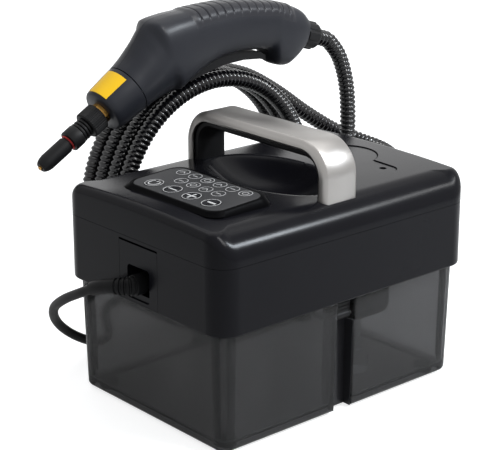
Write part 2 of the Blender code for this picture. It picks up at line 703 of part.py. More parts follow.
def machinery():
    """Boiler, pump, steam valve, suction line and drop box, all carried by the base plate."""
    boiler_z = PLATE_TOP + GAP + BOILER_SADDLE + BOILER_RADIUS
    half = BOILER_LENGTH / 2
    dome = BOILER_RADIUS / 3
    profile = [(0.0, -half), (BOILER_RADIUS * 0.7, -half + dome * 0.3), (BOILER_RADIUS, -half + dome),
               (BOILER_RADIUS, half - dome), (BOILER_RADIUS * 0.7, half - dome * 0.3), (0.0, half)]
    place = (BOILER_X, BOILER_Y, boiler_z)
    boiler = put("boiler", moved(turned("boiler", profile, 16), rotation=TO_Y), STEEL, place)
    for side in (-1, 1):
        height = BOILER_SADDLE + BOILER_RADIUS / 2
        saddle = block("saddle", (1.2 * BOILER_RADIUS, BOILER_SADDLE, height),
                       (0.0, side * half / 2, -BOILER_RADIUS - BOILER_SADDLE + height / 2))
        join(boiler, tool("saddle_%s" % ("rear" if side > 0 else "front"), saddle, location=place))

    pump_z = PLATE_TOP + GAP + PUMP_RADIUS
    profile = [(0.0, 0.0), (PUMP_RADIUS * 0.6, 0.0), (PUMP_RADIUS * 0.6, PUMP_LENGTH * 0.15),
               (PUMP_RADIUS, PUMP_LENGTH * 0.2), (PUMP_RADIUS, PUMP_LENGTH * 0.7),
               (PUMP_RADIUS * 0.7, PUMP_LENGTH * 0.72), (PUMP_RADIUS * 0.7, PUMP_LENGTH),
               (0.0, PUMP_LENGTH)]
    put("pump", moved(turned("pump", profile, 12), (PUMP_X, PUMP_Y - PUMP_LENGTH / 2, pump_z), TO_Y), MATT_BLACK)

    valve_y = HALF_Y - HEAD_WALL - FITTING_FLANGE - VALVE_SIZE / 2 - GAP
    valve = put("steam_valve", block("steam_valve", (VALVE_SIZE, VALVE_SIZE, FITTING_Z + PIPE_RADIUS - PLATE_TOP
                                                      + VALVE_SIZE / 2 - GAP),
                                     (FITTING_X, valve_y, (FITTING_Z + PIPE_RADIUS + PLATE_TOP
                                                           + VALVE_SIZE / 2 + GAP) / 2)), BRASS)
    feed = moved(rod("valve_feed", PIPE_RADIUS, valve_y - BOILER_Y - half, 12),
                 (FITTING_X, BOILER_Y + half + GAP, boiler_z), TO_Y)
    join(valve, tool("valve_feed", feed))

    bottom = PLATE_BOTTOM - GAP - DROP_DEPTH
    share_rows = ((0.7, 0.0), (0.25, 0.25), (0.0, 1.0))
    rings = [level_ring(DROP_WIDTH / 2 - DROP_CORNER * a / 2, DROP_LENGTH / 2 - DROP_CORNER * a,
                        DROP_CORNER / 2, bottom + DROP_CORNER * b, (DROP_X, DROP_Y), 3)
             for a, b in share_rows]
    rings.append(level_ring(DROP_WIDTH / 2, DROP_LENGTH / 2, DROP_CORNER / 2, PLATE_BOTTOM - GAP,
                            (DROP_X, DROP_Y), 3))
    drop = put("drop_box", loft("drop_box", rings), MATT_BLACK)
    bore = rod("drop_bore", SUCTION_RADIUS + GAP, 2 * DROP_DEPTH, 14)
    cut(drop, tool("drop_bore", bore, location=(DROP_X, DROP_Y, bottom - DROP_DEPTH / 2)))

    filter_z = FOOT_HEIGHT + TUB_WALL + 2 * FILTER_HEIGHT / 3
    top = PLATE_TOP + PUMP_RADIUS
    tube = rod("suction_tube", SUCTION_RADIUS, top - filter_z - FILTER_HEIGHT - GAP, 14)
    put("suction_tube", tube, RUBBER, (DROP_X, DROP_Y, filter_z + FILTER_HEIGHT + GAP))
    profile = [(0.0, 0.0), (FILTER_RADIUS, 0.0), (FILTER_RADIUS, FILTER_HEIGHT * 0.7),
               (FILTER_RADIUS / 2, FILTER_HEIGHT), (0.0, FILTER_HEIGHT)]
    put("intake_filter", turned("intake_filter", profile, 16), MATT_BLACK, (DROP_X, DROP_Y, filter_z))


HANDLE_DEPTH = HANDLE_SHELL + HANDLE_LINING + HANDLE_BEVEL + 2 * GAP


def seat_height(x):
    """Sloping face on which the handle's feet stand, let into the shoulder of the cover."""
    outer = crown_height(HANDLE_HALF, SHOULDER, HALF_X, CROWN)
    inner = crown_height(HANDLE_HALF - HANDLE_DEPTH, SHOULDER, HALF_X, CROWN)
    return outer + (inner - outer) * (HANDLE_HALF - x) / HANDLE_DEPTH - HANDLE_SEAT


def handle_path(half, top, corner):
    """Arch outline in X and Z from the -X foot over the top to the +X foot."""
    foot_z = seat_height(half)
    left = arc((-half + corner, top - corner), corner, 180, 90, 6)
    right = arc((half - corner, top - corner), corner, 90, 0, 6)
    return [(-half, foot_z)] + left + right + [(half, foot_z)]


def handle():
    """Silver strap arch with bevelled rims and a black lining, its feet let into the cover."""
    top = CROWN + HANDLE_RISE
    half_w = HANDLE_WIDTH / 2

    def strap(name, depth_out, depth_in, side_rows):
        rows = []
        for depth, y in side_rows:
            half = HANDLE_HALF - depth
            rows.append([Vector((x, y, z)) for x, z in
                         handle_path(half, top - depth, max(HANDLE_CORNER - depth, depth_in))])
        rings = [[row[k] for row in rows] for k in range(len(rows[0]))]
        return loft(name, rings)

    shell_rows = [(0.0, -half_w + HANDLE_BEVEL), (0.0, half_w - HANDLE_BEVEL),
                  (HANDLE_BEVEL * 0.6, half_w - HANDLE_BEVEL * 0.25), (HANDLE_SHELL + HANDLE_BEVEL * 0.5, half_w),
                  (HANDLE_SHELL + HANDLE_BEVEL, half_w - HANDLE_BEVEL * 0.4),
                  (HANDLE_SHELL, half_w - HANDLE_BEVEL), (HANDLE_SHELL, -half_w + HANDLE_BEVEL),
                  (HANDLE_SHELL + HANDLE_BEVEL, -half_w + HANDLE_BEVEL * 0.4),
                  (HANDLE_SHELL + HANDLE_BEVEL * 0.5, -half_w), (HANDLE_BEVEL * 0.6, -half_w + HANDLE_BEVEL * 0.25)]
    put("handle_shell", strap("handle_shell", 0.0, HANDLE_SHELL, shell_rows), SILVER)
    inner = HANDLE_SHELL + GAP
    flank = half_w - HANDLE_BEVEL * 0.8 - GAP
    deep = inner + HANDLE_LINING
    lining_rows = [(inner, -flank + HANDLE_BEVEL), (inner, flank - HANDLE_BEVEL),
                   (inner + HANDLE_BEVEL + GAP, flank), (deep + HANDLE_BEVEL * 0.6, flank - HANDLE_BEVEL * 0.3),
                   (deep + HANDLE_BEVEL, flank - HANDLE_BEVEL * 1.5),
                   (deep + HANDLE_BEVEL, -flank + HANDLE_BEVEL * 1.5),
                   (deep + HANDLE_BEVEL * 0.6, -flank + HANDLE_BEVEL * 0.3), (inner + HANDLE_BEVEL + GAP, -flank)]
    put("handle_lining", strap("handle_lining", 0.0, HANDLE_SHELL, lining_rows), MATT_BLACK)
    cover = bpy.data.objects["top_cover"]
    for side, mark in ((-1, "left"), (1, "right")):
        near, far = HANDLE_HALF - HANDLE_DEPTH - GAP, HANDLE_HALF + GAP
        outline = [(far, seat_height(far) - GAP), (near, seat_height(near) - GAP),
                   (near, CROWN + OVERRUN), (far, CROWN + OVERRUN)]
        rings = [[Vector((side * x, y, z)) for x, z in outline] for y in (-half_w - GAP, half_w + GAP)]
        cut(cover, tool("handle_seat_" + mark, loft("handle_seat", rings)))


def keypad():
    """Raised bezel with flared flanks, the panel, four keys and the indicator lenses."""
    pad = empty("keypad", (PANEL_X, PANEL_Y, CROWN + BEZEL_RISE), MACHINE, (PANEL_TILT, 0.0, 0.0))
    plug_x = PANEL_WIDTH / 2 + BEZEL_RIM + BEZEL_FLARE / 2
    plug_y = PANEL_LENGTH / 2 + BEZEL_RIM + BEZEL_FLARE / 2
    low = CROWN - HEAD_WALL - BEZEL_PLUG / 2
    top = CROWN + BEZEL_RISE

    def tilt(ring):
        return [Vector((p.x, p.y, top + (p.y - PANEL_Y) * tan(PANEL_TILT))) for p in ring]

    def spread(grow):
        return level_ring(plug_x + grow, plug_y + grow, PANEL_CORNER + grow, 0.0, (PANEL_X, PANEL_Y), 4)

    rim_x = PANEL_WIDTH / 2 + BEZEL_RIM
    rim_y = PANEL_LENGTH / 2 + BEZEL_RIM
    collar = [Vector((p.x, p.y, CROWN - GAP)) for p in spread(0.0)]
    rings = [[Vector((p.x, p.y, low)) for p in spread(0.0)], collar,
             tilt(level_ring(rim_x, rim_y, PANEL_CORNER, 0.0, (PANEL_X, PANEL_Y), 4))]
    bezel = put("keypad_bezel", loft("keypad_bezel", rings), MATT_BLACK)
    hollow = loft("bezel_hollow", [level_ring(PANEL_WIDTH / 2 - BEZEL_RIM, PANEL_LENGTH / 2 - BEZEL_RIM,
                                              PANEL_CORNER - BEZEL_RIM, z, (0.0, 0.0), 4)
                                   for z in (-4 * BEZEL_PLUG, OVERRUN)])
    cut(bezel, tool("bezel_hollow", hollow, pad))
    seat = loft("panel_seat", [level_ring(PANEL_WIDTH / 2 + GAP, PANEL_LENGTH / 2 + GAP, PANEL_CORNER, z,
                                          (0.0, 0.0), 4) for z in (-PANEL_THICKNESS - GAP, OVERRUN)])
    cut(bezel, tool("panel_seat", seat, pad))
    panel = put("keypad_panel", loft("keypad_panel", [level_ring(PANEL_WIDTH / 2, PANEL_LENGTH / 2, PANEL_CORNER,
                                                                 z, (0.0, 0.0), 4)
                                                      for z in (-PANEL_THICKNESS, 0.0)]), PANEL_GREY, parent=pad)
    for k, name in enumerate(("key_power", "key_minus", "key_plus", "key_start")):
        place = ((k - 1.5) * KEY_PITCH, KEY_ROW, KEY_PROUD)
        profile = [(0.0, -KEY_HEIGHT), (KEY_RADIUS + 2 * GAP, -KEY_HEIGHT),
                   (KEY_RADIUS + 2 * GAP, -PANEL_THICKNESS - 2 * GAP - KEY_PROUD),
                   (KEY_RADIUS, -PANEL_THICKNESS - 2 * GAP - KEY_PROUD), (KEY_RADIUS, -GAP),
                   (KEY_RADIUS - GAP, 0.0), (0.0, 0.0)]
        put(name, turned(name, profile), KEY_DARK, place, parent=pad)
        hole = rod("key_hole", KEY_RADIUS + GAP, 4 * PANEL_THICKNESS, 16)
        cut(panel, tool("key_hole_%d" % k, hole, pad, (place[0], KEY_ROW, -2 * PANEL_THICKNESS)))
    front = LENS_ROWS[0] - LENS_RADIUS - GAP
    rear = PANEL_LENGTH / 2 - BEZEL_RIM - 2 * GAP
    width = (LENS_COUNTS[1] - 1) * LENS_PITCH + 2 * (LENS_RADIUS + GAP)
    sheet = block("indicator_lenses", (width, rear - front, LENS_SHEET),
                  (0.0, (rear + front) / 2, -PANEL_THICKNESS - GAP - LENS_SHEET / 2))
    lenses = put("indicator_lenses", sheet, KEY_DARK, parent=pad)
    for row, count in zip(LENS_ROWS, LENS_COUNTS):
        for k in range(count):
            x = (k - (count - 1) / 2) * LENS_PITCH
            mark = "%d_%d" % (count, k)
            height = PANEL_THICKNESS + LENS_SHEET / 2
            lens = rod("lens", LENS_RADIUS, height, 8)
            join(lenses, tool("lens_" + mark, lens, pad, (x, row, -height)))
            hole = rod("lens_hole", LENS_RADIUS + GAP, 4 * PANEL_THICKNESS, 8)
            cut(panel, tool("lens_hole_" + mark, hole, pad, (x, row, -2 * PANEL_THICKNESS)))
    board_z = -KEY_HEIGHT + KEY_PROUD - KEY_TRAVEL - GAP
    inset = BEZEL_RIM + GAP
    board = loft("control_board", [level_ring(PANEL_WIDTH / 2 - inset, PANEL_LENGTH / 2 - inset,
                                              PANEL_CORNER - inset, z, (0.0, 0.0), 4)
                                   for z in (board_z - BOARD_THICKNESS, board_z)])
    put("control_board", board, BOARD_GREEN, parent=pad)


def smooth_path(points, steps):
    """Catmull-Rom curve through the points, STEPS spans between neighbours."""
    points = [Vector(point) for point in points]
    ends = [2 * points[0] - points[1]] + points + [2 * points[-1] - points[-2]]
    path = []
    for k in range(1, len(ends) - 2):
        a, b, c, d = ends[k - 1:k + 3]
        for step in range(steps):
            t = step / steps
            path.append(0.5 * ((2 * b) + (c - a) * t + (2 * a - 5 * b + 4 * c - d) * t ** 2
                               + (3 * b - a - 3 * c + d) * t ** 3))
    path.append(points[-1])
    return path


def resample(path, count):
    """COUNT spans of equal length along a path."""
    lengths = [0.0]
    for a, b in zip(path, path[1:]):
        lengths.append(lengths[-1] + (b - a).length)
    result = []
    k = 0
    for step in range(count + 1):
        target = lengths[-1] * step / count
        while k < len(path) - 2 and lengths[k + 1] < target:
            k += 1
        span = lengths[k + 1] - lengths[k]
        result.append(path[k].lerp(path[k + 1], (target - lengths[k]) / span if span else 0.0))
    return result


def path_length(path):
    return sum((b - a).length for a, b in zip(path, path[1:]))


def least_gap(path, radius, skip):
    """Smallest clearance between stretches of one tube that are not neighbours."""
    least = 1.0
    for i in range(0, len(path), 2):
        for j in range(i + skip, len(path), 2):
            least = min(least, (path[i] - path[j]).length)
    return least - 2 * radius


def tube_mesh(name, path, radii, sides_resolution):
    """Closed tube along a path, its radius given point by point."""
    curve = bpy.data.curves.new(name, "CURVE")
    curve.dimensions = "3D"
    curve.bevel_depth = 1.0
    curve.bevel_resolution = sides_resolution
    curve.use_fill_caps = True
    spline = curve.splines.new("POLY")
    spline.points.add(len(path) - 1)
    for point, place, radius in zip(spline.points, path, radii):
        point.co = (*place, 1.0)
        point.radius = radius
    return evaluated_mesh(bpy.data.objects.new(name, curve))


def square_ends(points, first, last):
    """Turn the end spans of a path into the directions FIRST and LAST, so that its caps lie square."""
    points[1] = points[0] + first * (points[1] - points[0]).length
    points[-2] = points[-1] - last * (points[-2] - points[-1]).length
    return points


def hose_piece(name, path, ribs, first, last):
    """Corrugated stretch: ribs by unlike radii, plain ends one diameter long, and a bore."""
    total = path_length(path)
    spans = max(2 * ribs, 4)
    points = square_ends(resample(path, spans), first, last)
    radii = []
    for k in range(len(points)):
        plain = min(k, len(points) - 1 - k) * total / spans < 2 * HOSE_RADIUS
        radii.append(HOSE_RADIUS if plain or k % 2 == 0 else HOSE_ROOT)
    made = put(name, tube_mesh(name, points, radii, 2), HOSE_BLACK)
    core = square_ends(resample(path, max(int(ribs * CORE_SHARE), 20)), first, last)
    core[0] = core[0] + (core[0] - core[1]).normalized() * OVERRUN
    core[-1] = core[-1] + (core[-1] - core[-2]).normalized() * OVERRUN
    cut(made, tool(name + "_bore", tube_mesh(name + "_bore", core, [HOSE_BORE] * len(core), 1)))
    return made


def hose_loop_point(turn):
    """Centre line of the standing coil; turn 0 is at its foot, growing round over the -Y side."""
    angle = -pi / 2 - 2 * pi * turn
    low = HOSE_LOOP_Z - HOSE_RADIUS - HOSE_FLOOR
    rise = HOSE_LOOP if sin(angle) > 0 else low
    first_x = -HALF_X - HOSE_WALL_GAP - HOSE_RADIUS
    return Vector((first_x - HOSE_PITCH * turn, HOSE_LOOP_Y + HOSE_LOOP * cos(angle),
                   HOSE_LOOP_Z + rise * sin(angle)))


def lifted(route, low, high):
    """The route's points, their heights between LOW and HIGH."""
    return [Vector((x, y, low + (high - low) * share)) for x, y, share in route]


def gun_point(y, z):
    return Vector((GUN_X, y, z))


# Routes: X, Y, and the height as a share of the way from the route's low end to its high end
HOSE_TAIL_ROUTE = ((-0.1250, 0.1900, 0.9679), (-0.1245, 0.2030, 0.9058), (-0.1230, 0.2110, 0.8127), (-0.1210, 0.2130, 0.7118),
                   (-0.1180, 0.2100, 0.5876), (-0.1155, 0.2000, 0.4246), (-0.1140, 0.1820, 0.2693), (-0.1136, 0.1520, 0.1296),
                   (-0.1142, 0.1220, 0.0462), (-0.1150, 0.0980, 0.0093))
HOSE_LEAD_ROUTE = ((-0.1740, 0.0850, 0.9524), (-0.1740, 0.1250, 0.8381), (-0.1720, 0.1630, 0.6286), (-0.1670, 0.1980, 0.3810),
                   (-0.1560, 0.2280, 0.1810), (-0.1370, 0.2480, 0.0762), (-0.1120, 0.2540, 0.0286), (-0.0880, 0.2440, 0.0095),
                   (-0.0700, 0.2220, 0.0000))


def hose():
    steps = 64
    turns = [HOSE_TURNS * k / ceil(HOSE_TURNS * steps) for k in range(ceil(HOSE_TURNS * steps) + 1)]
    coil = [hose_loop_point(turn) for turn in turns]
    print("hose coil least gap to itself, mm:", round(1000 * least_gap(coil, HOSE_RADIUS, steps // 2), 2))
    rearward = Vector((0.0, 1.0, 0.0))
    straight = rearward * 2 * HOSE_RADIUS
    coil = [coil[0] + straight] + coil + [coil[-1] + straight]
    start = coil[0] + rearward * GAP
    finish = coil[-1] + rearward * GAP
    rear = gun_rear_axis()
    first = gun_nut_end() + rear * GAP
    tail = [first, first + rear * 2 * HOSE_RADIUS] + lifted(HOSE_TAIL_ROUTE, coil[0].z, first.z)
    tail += [start + straight, start]
    tail_path = smooth_path(tail, 6)
    wall_end = Vector((FITTING_X, HALF_Y + FITTING_REACH + GAP, FITTING_Z))
    lead = [finish, finish + straight] + lifted(HOSE_LEAD_ROUTE, FITTING_Z, finish.z)
    lead += [wall_end + straight, wall_end]
    lead_path = smooth_path(lead, 6)
    lengths = [path_length(path) for path in (tail_path, coil, lead_path)]
    print("hose length, m:", round(sum(lengths), 3))
    shares = [length / sum(lengths) for length in lengths]
    hose_piece("hose_tail", tail_path, int(HOSE_RIBS * shares[0]), rear, -rearward)
    hose_piece("hose_coil", coil, int(HOSE_RIBS * shares[1]), -rearward, rearward)
    hose_piece("hose_lead", lead_path, int(HOSE_RIBS * shares[2]), rearward, -rearward)


def outlet_fitting():
    """Bulkhead fitting in the +Y wall and the union nut that holds the hose."""
    inside = HEAD_WALL + GAP
    profile = [(PIPE_RADIUS, -inside - FITTING_FLANGE + GAP), (FITTING_RADIUS * 0.8, -inside - FITTING_FLANGE + GAP),
               (FITTING_RADIUS * 0.8, -inside - HEAD_WALL), (FITTING_FLANGE, -inside - HEAD_WALL),
               (FITTING_FLANGE, -inside), (FITTING_RADIUS, -inside), (FITTING_RADIUS, FITTING_REACH * 0.3),
               (FITTING_RADIUS * 0.75, FITTING_REACH * 0.3), (FITTING_RADIUS * 0.75, FITTING_REACH * 0.6),
               (PIPE_RADIUS, FITTING_REACH * 0.6)]
    place = (FITTING_X, HALF_Y, FITTING_Z)
    put("outlet_fitting", moved(turned("outlet_fitting", profile, 16), rotation=TO_Y), BRASS, place)
    bore = FITTING_RADIUS * 0.75 + GAP
    begin = FITTING_REACH * 0.3 + GAP
    profile = [(bore, begin), (HOSE_NUT_RADIUS, begin), (HOSE_NUT_RADIUS, FITTING_REACH - GAP * 4),
               (HOSE_NUT_RADIUS - GAP * 4, FITTING_REACH), (HOSE_BORE, FITTING_REACH),
               (HOSE_BORE, FITTING_REACH * 0.6 + GAP), (bore, FITTING_REACH * 0.6 + GAP)]
    put("hose_nut", moved(turned("hose_nut", profile, 16), rotation=TO_Y), MATT_BLACK, place)


CORD_ROUTE = ((-0.0330, -0.1640, 0.9360), (-0.0520, -0.1650, 0.8548), (-0.0780, -0.1620, 0.7395), (-0.1050, -0.1540, 0.5944),
              (-0.1240, -0.1420, 0.4406), (-0.1340, -0.1280, 0.3040), (-0.1400, -0.1100, 0.1759), (-0.1450, -0.0880, 0.0649),
              (-0.1560, -0.0640, 0.0034), (-0.1760, -0.0460, 0.0000), (-0.2000, -0.0320, 0.0000), (-0.2220, -0.0120, 0.0000),
              (-0.2330, 0.0140, 0.0000), (-0.2310, 0.0420, 0.0000))


def relief_path():
    """The strain relief bends from -Y toward the cord's side."""
    root = Vector((0.0, -HALF_Y + CORD_PORT_DEPTH + HEAD_WALL / 2 - GAP, CORD_Z))
    first = Vector((0.0, -HALF_Y - RELIEF_BASE / 2, CORD_Z))
    tip, following = lifted(CORD_ROUTE[:2], CORD_FLOOR, CORD_Z)
    tip_direction = (following - tip).normalized()
    bend = first + Vector((0.0, -RELIEF_BASE, 0.0))
    path = []
    for k in range(4 * RELIEF_RIBS + 1):
        t = k / (4 * RELIEF_RIBS)
        near_tip = tip - tip_direction * RELIEF_LENGTH * 0.45
        path.append((1 - t) ** 3 * first + 3 * (1 - t) ** 2 * t * bend + 3 * (1 - t) * t ** 2 * near_tip
                    + t ** 3 * tip)
    return [root] + path


def coil_point(turn):
    """Cord coil on the table: spiral in, climb while it reverses, spiral out again."""
    total = 2 * COIL_LOOPS
    inward = min(turn, total - turn)
    climb = min(max((turn - COIL_LOOPS + 0.25) / 0.5, 0.0), 1.0)
    radius = COIL_OUTER - COIL_PITCH * inward
    angle = -pi / 2 - 2 * pi * turn
    height = COIL_FLOOR + CORD_RADIUS + COIL_PITCH * climb
    return Vector((COIL_X + radius * cos(angle), COIL_Y + radius * sin(angle), height))


def mains_cord():
    route = relief_path()
    radii = []
    for k in range(len(route)):
        share = max(k - 1, 0) / (len(route) - 2)
        rib = 1.0 if k < 2 or k % 4 < 2 else 0.88
        radii.append((RELIEF_BASE + (RELIEF_TIP - RELIEF_BASE) * share) * rib)
    put("strain_relief", tube_mesh("strain_relief", route, radii, 2), RUBBER)
    coil_steps = 24
    count = 2 * COIL_LOOPS * coil_steps
    coil = [coil_point(k / coil_steps) for k in range(count + 1)]
    print("cord coil least gap to itself, mm:",
          round(1000 * least_gap([coil_point(k / 48) for k in range(2 * count + 1)], CORD_RADIUS, 24), 2))
    outward = Vector((1.0, 0.0, 0.0))
    lead_in = coil[0] + outward * 2 * CORD_RADIUS
    lead_out = coil[-1] - outward * PLUG_LEAD
    put("cord_coil", tube_mesh("cord_coil", [lead_in] + coil + [lead_out], [CORD_RADIUS] * (len(coil) + 2), 1),
        RUBBER)
    cord = lifted(CORD_ROUTE, CORD_FLOOR, CORD_Z)
    direction = (cord[1] - cord[0]).normalized()
    run = [cord[0] + direction * GAP] + cord[1:]
    run += [lead_in + outward * 4 * CORD_RADIUS, lead_in + outward * GAP]
    path = square_ends(smooth_path(run, 2), direction, -outward)
    put("cord_run", tube_mesh("cord_run", path, [CORD_RADIUS] * len(path), 2), RUBBER)
    print("cord length, m:", round(path_length(path) + path_length(coil), 3))

    tie_y = COIL_Y + COIL_OUTER - COIL_PITCH * COIL_LOOPS / 2
    half_r = COIL_PITCH * (COIL_LOOPS - 1) / 2 + CORD_RADIUS + 2 * GAP
    low = COIL_FLOOR - GAP
    high = COIL_FLOOR + COIL_PITCH + 2 * CORD_RADIUS + GAP
    rings = []
    for grow, x in ((0.0, -1), (TIE_THICKNESS, -1), (TIE_THICKNESS, 1), (0.0, 1)):
        outline = rounded_outline(half_r + grow, (high - low) / 2 + grow, CORD_RADIUS / 2 + grow, 2)
        rings.append([Vector((COIL_X + x * TIE_WIDTH / 2, tie_y + u, (high + low) / 2 + v)) for u, v in outline])
    put("cord_tie", loft("cord_tie", rings, closed=True), MATT_BLACK)

    plug_start = lead_out - outward * GAP
    profile = [(0.0, 0.0), (CORD_RADIUS * 1.4, 0.0), (CORD_RADIUS * 1.8, PLUG_LENGTH * 0.35),
               (PLUG_RADIUS * 0.8, PLUG_LENGTH * 0.5), (PLUG_RADIUS, PLUG_LENGTH * 0.6),
               (PLUG_RADIUS, PLUG_LENGTH), (0.0, PLUG_LENGTH)]
    put("plug_body", moved(turned("plug_body", profile), rotation=FROM_X), RUBBER, plug_start)
    for side, mark in ((-1, "left"), (1, "right")):
        pin = moved(rod("plug_pin", PIN_RADIUS, PIN_LENGTH, 12, PIN_RADIUS / 4),
                    (-PLUG_LENGTH - GAP, side * PIN_SPACING / 2, 0.0), FROM_X)
        put("plug_pin_" + mark, pin, BRASS, plug_start)


# Stations along the gun: middle (y, z) from the trigger's pin, lean of the section in degrees, half height,
# half width and half bore, all but the lean in shares of the gun's length
GUN_SHARES = (
    ((-0.3350, -0.0425), 30.0, 0.1125, 0.1125, 0.0978),
    ((-0.2836, -0.0098), 29.0, 0.1232, 0.1134, 0.0978),
    ((-0.2274, 0.0293), 27.0, 0.1467, 0.1154, 0.1002),
    ((-0.1663, 0.0724), 24.0, 0.1721, 0.1154, 0.1002),
    ((-0.0929, 0.1002), 20.0, 0.1604, 0.1115, 0.0978),
    ((-0.0098, 0.1222), 16.0, 0.1418, 0.1051, 0.0905),
    ((0.0880, 0.1418), 11.0, 0.1257, 0.0993, 0.0856),
    ((0.1956, 0.1506), 4.0, 0.1174, 0.0958, 0.0807),
    ((0.3032, 0.1482), -4.0, 0.1115, 0.0939, 0.0782),
    ((0.4108, 0.1359), -10.0, 0.1086, 0.0929, 0.0782),
    ((0.4597, 0.1247), -10.0, 0.1125, 0.0929, 0.0758),
    ((0.4939, 0.0905), -8.0, 0.1379, 0.0919, 0.0733),
    ((0.5623, 0.0709), -8.0, 0.1379, 0.0880, 0.0685),
    ((0.6210, 0.0675), -12.0, 0.1125, 0.0807, 0.0587),
    ((0.6650, 0.0645), -17.0, 0.0733, 0.0709, 0.0489),
)
GUN_STATIONS = tuple(((TRIGGER_Y + y * GUN_LENGTH, TRIGGER_Z + z * GUN_LENGTH), lean, height * GUN_LENGTH,
                      width * GUN_LENGTH, bore * GUN_LENGTH)
                     for (y, z), lean, height, width, bore in GUN_SHARES)


def gun_rear_axis():
    lean = radians(GUN_STATIONS[-1][1])
    return Vector((0.0, cos(lean), sin(lean)))


def gun_rear():
    return gun_point(*GUN_STATIONS[-1][0])


def gun_nut_end():
    return gun_rear() + gun_rear_axis() * (HOSE_NUT_LENGTH + GAP)


def gun_section(station, grow, side):
    """Half section of the gun as a closed C, on the side SIDE of the middle plane."""
    (y, z), lean, half_height, half_width, bore = station
    lean = radians(lean)
    up = Vector((0.0, -sin(lean), cos(lean)))
    origin = gun_point(y, z)
    steps = GUN_ARC_STEPS

    def half_arc(height, width, backwards):
        points = []
        for k in range(steps + 1):
            turn = pi * (k / steps - 0.5)
            across = side * (GAP / 2 + (width - GAP / 2) * cos(turn))
            points.append(origin + up * height * sin(turn) + Vector((across, 0.0, 0.0)))
        return list(reversed(points)) if backwards else points

    inner_height = min(half_height - GUN_WALL, half_height * bore / half_width)
    inner_width = min(half_width - GUN_WALL, bore)
    return half_arc(half_height, half_width, False) + half_arc(inner_height, inner_width, True)


def grip_pad():
    """Ribbed pad over the back of the grip; its inner face follows the facets of the shells."""
    spans = 2 * PAD_RIBS
    rings = []
    for k in range(spans + 1):
        place = PAD_FIRST + (PAD_LAST - PAD_FIRST) * k / spans
        low = min(int(place), PAD_LAST - 1)
        share = place - low
        before, after = GUN_STATIONS[low], GUN_STATIONS[low + 1]
        lean_before, lean_after = radians(before[1]), radians(after[1])
        relief = PAD_RELIEF if k % 2 else 0.0

        def edge(grow, backwards):
            points = []
            for side in (-1, 1):
                row = []
                for facet in range(PAD_FACETS + 1):
                    turn = pi / 2 - pi * facet / GUN_ARC_STEPS
                    if side > 0 and facet == 0:
                        continue
                    ends = []
                    for (y, z), lean, height, width in ((before[0], lean_before, before[2], before[3]),
                                                        (after[0], lean_after, after[2], after[3])):
                        up = Vector((0.0, -sin(lean), cos(lean)))
                        ends.append(gun_point(y, z) + up * (height + grow) * sin(turn)
                                    + Vector((side * (width + grow) * cos(turn), 0.0, 0.0)))
                    row.append(ends[0].lerp(ends[1], share))
                points += list(reversed(row)) if side < 0 else row
            return list(reversed(points)) if backwards else points

        rings.append(edge(PAD_THICKNESS + relief, False) + edge(GAP, True))
    return loft("gun_grip_pad", rings)


# Side outline of the trigger lever (y, z) from its pin, in shares of the gun's length
TRIGGER_SHARES = ((-0.0367, -0.0440), (-0.0147, -0.0562), (0.0831, -0.0293), (0.1858, -0.0098), (0.2934, -0.0049),
                  (0.3912, -0.0137), (0.4254, -0.0244), (0.4254, 0.0000), (0.3912, 0.0196), (0.2934, 0.0367),
                  (0.1858, 0.0401), (0.0831, 0.0293), (0.0196, 0.0220), (-0.0098, 0.0205), (-0.0269, 0.0073),
                  (-0.0342, -0.0147))


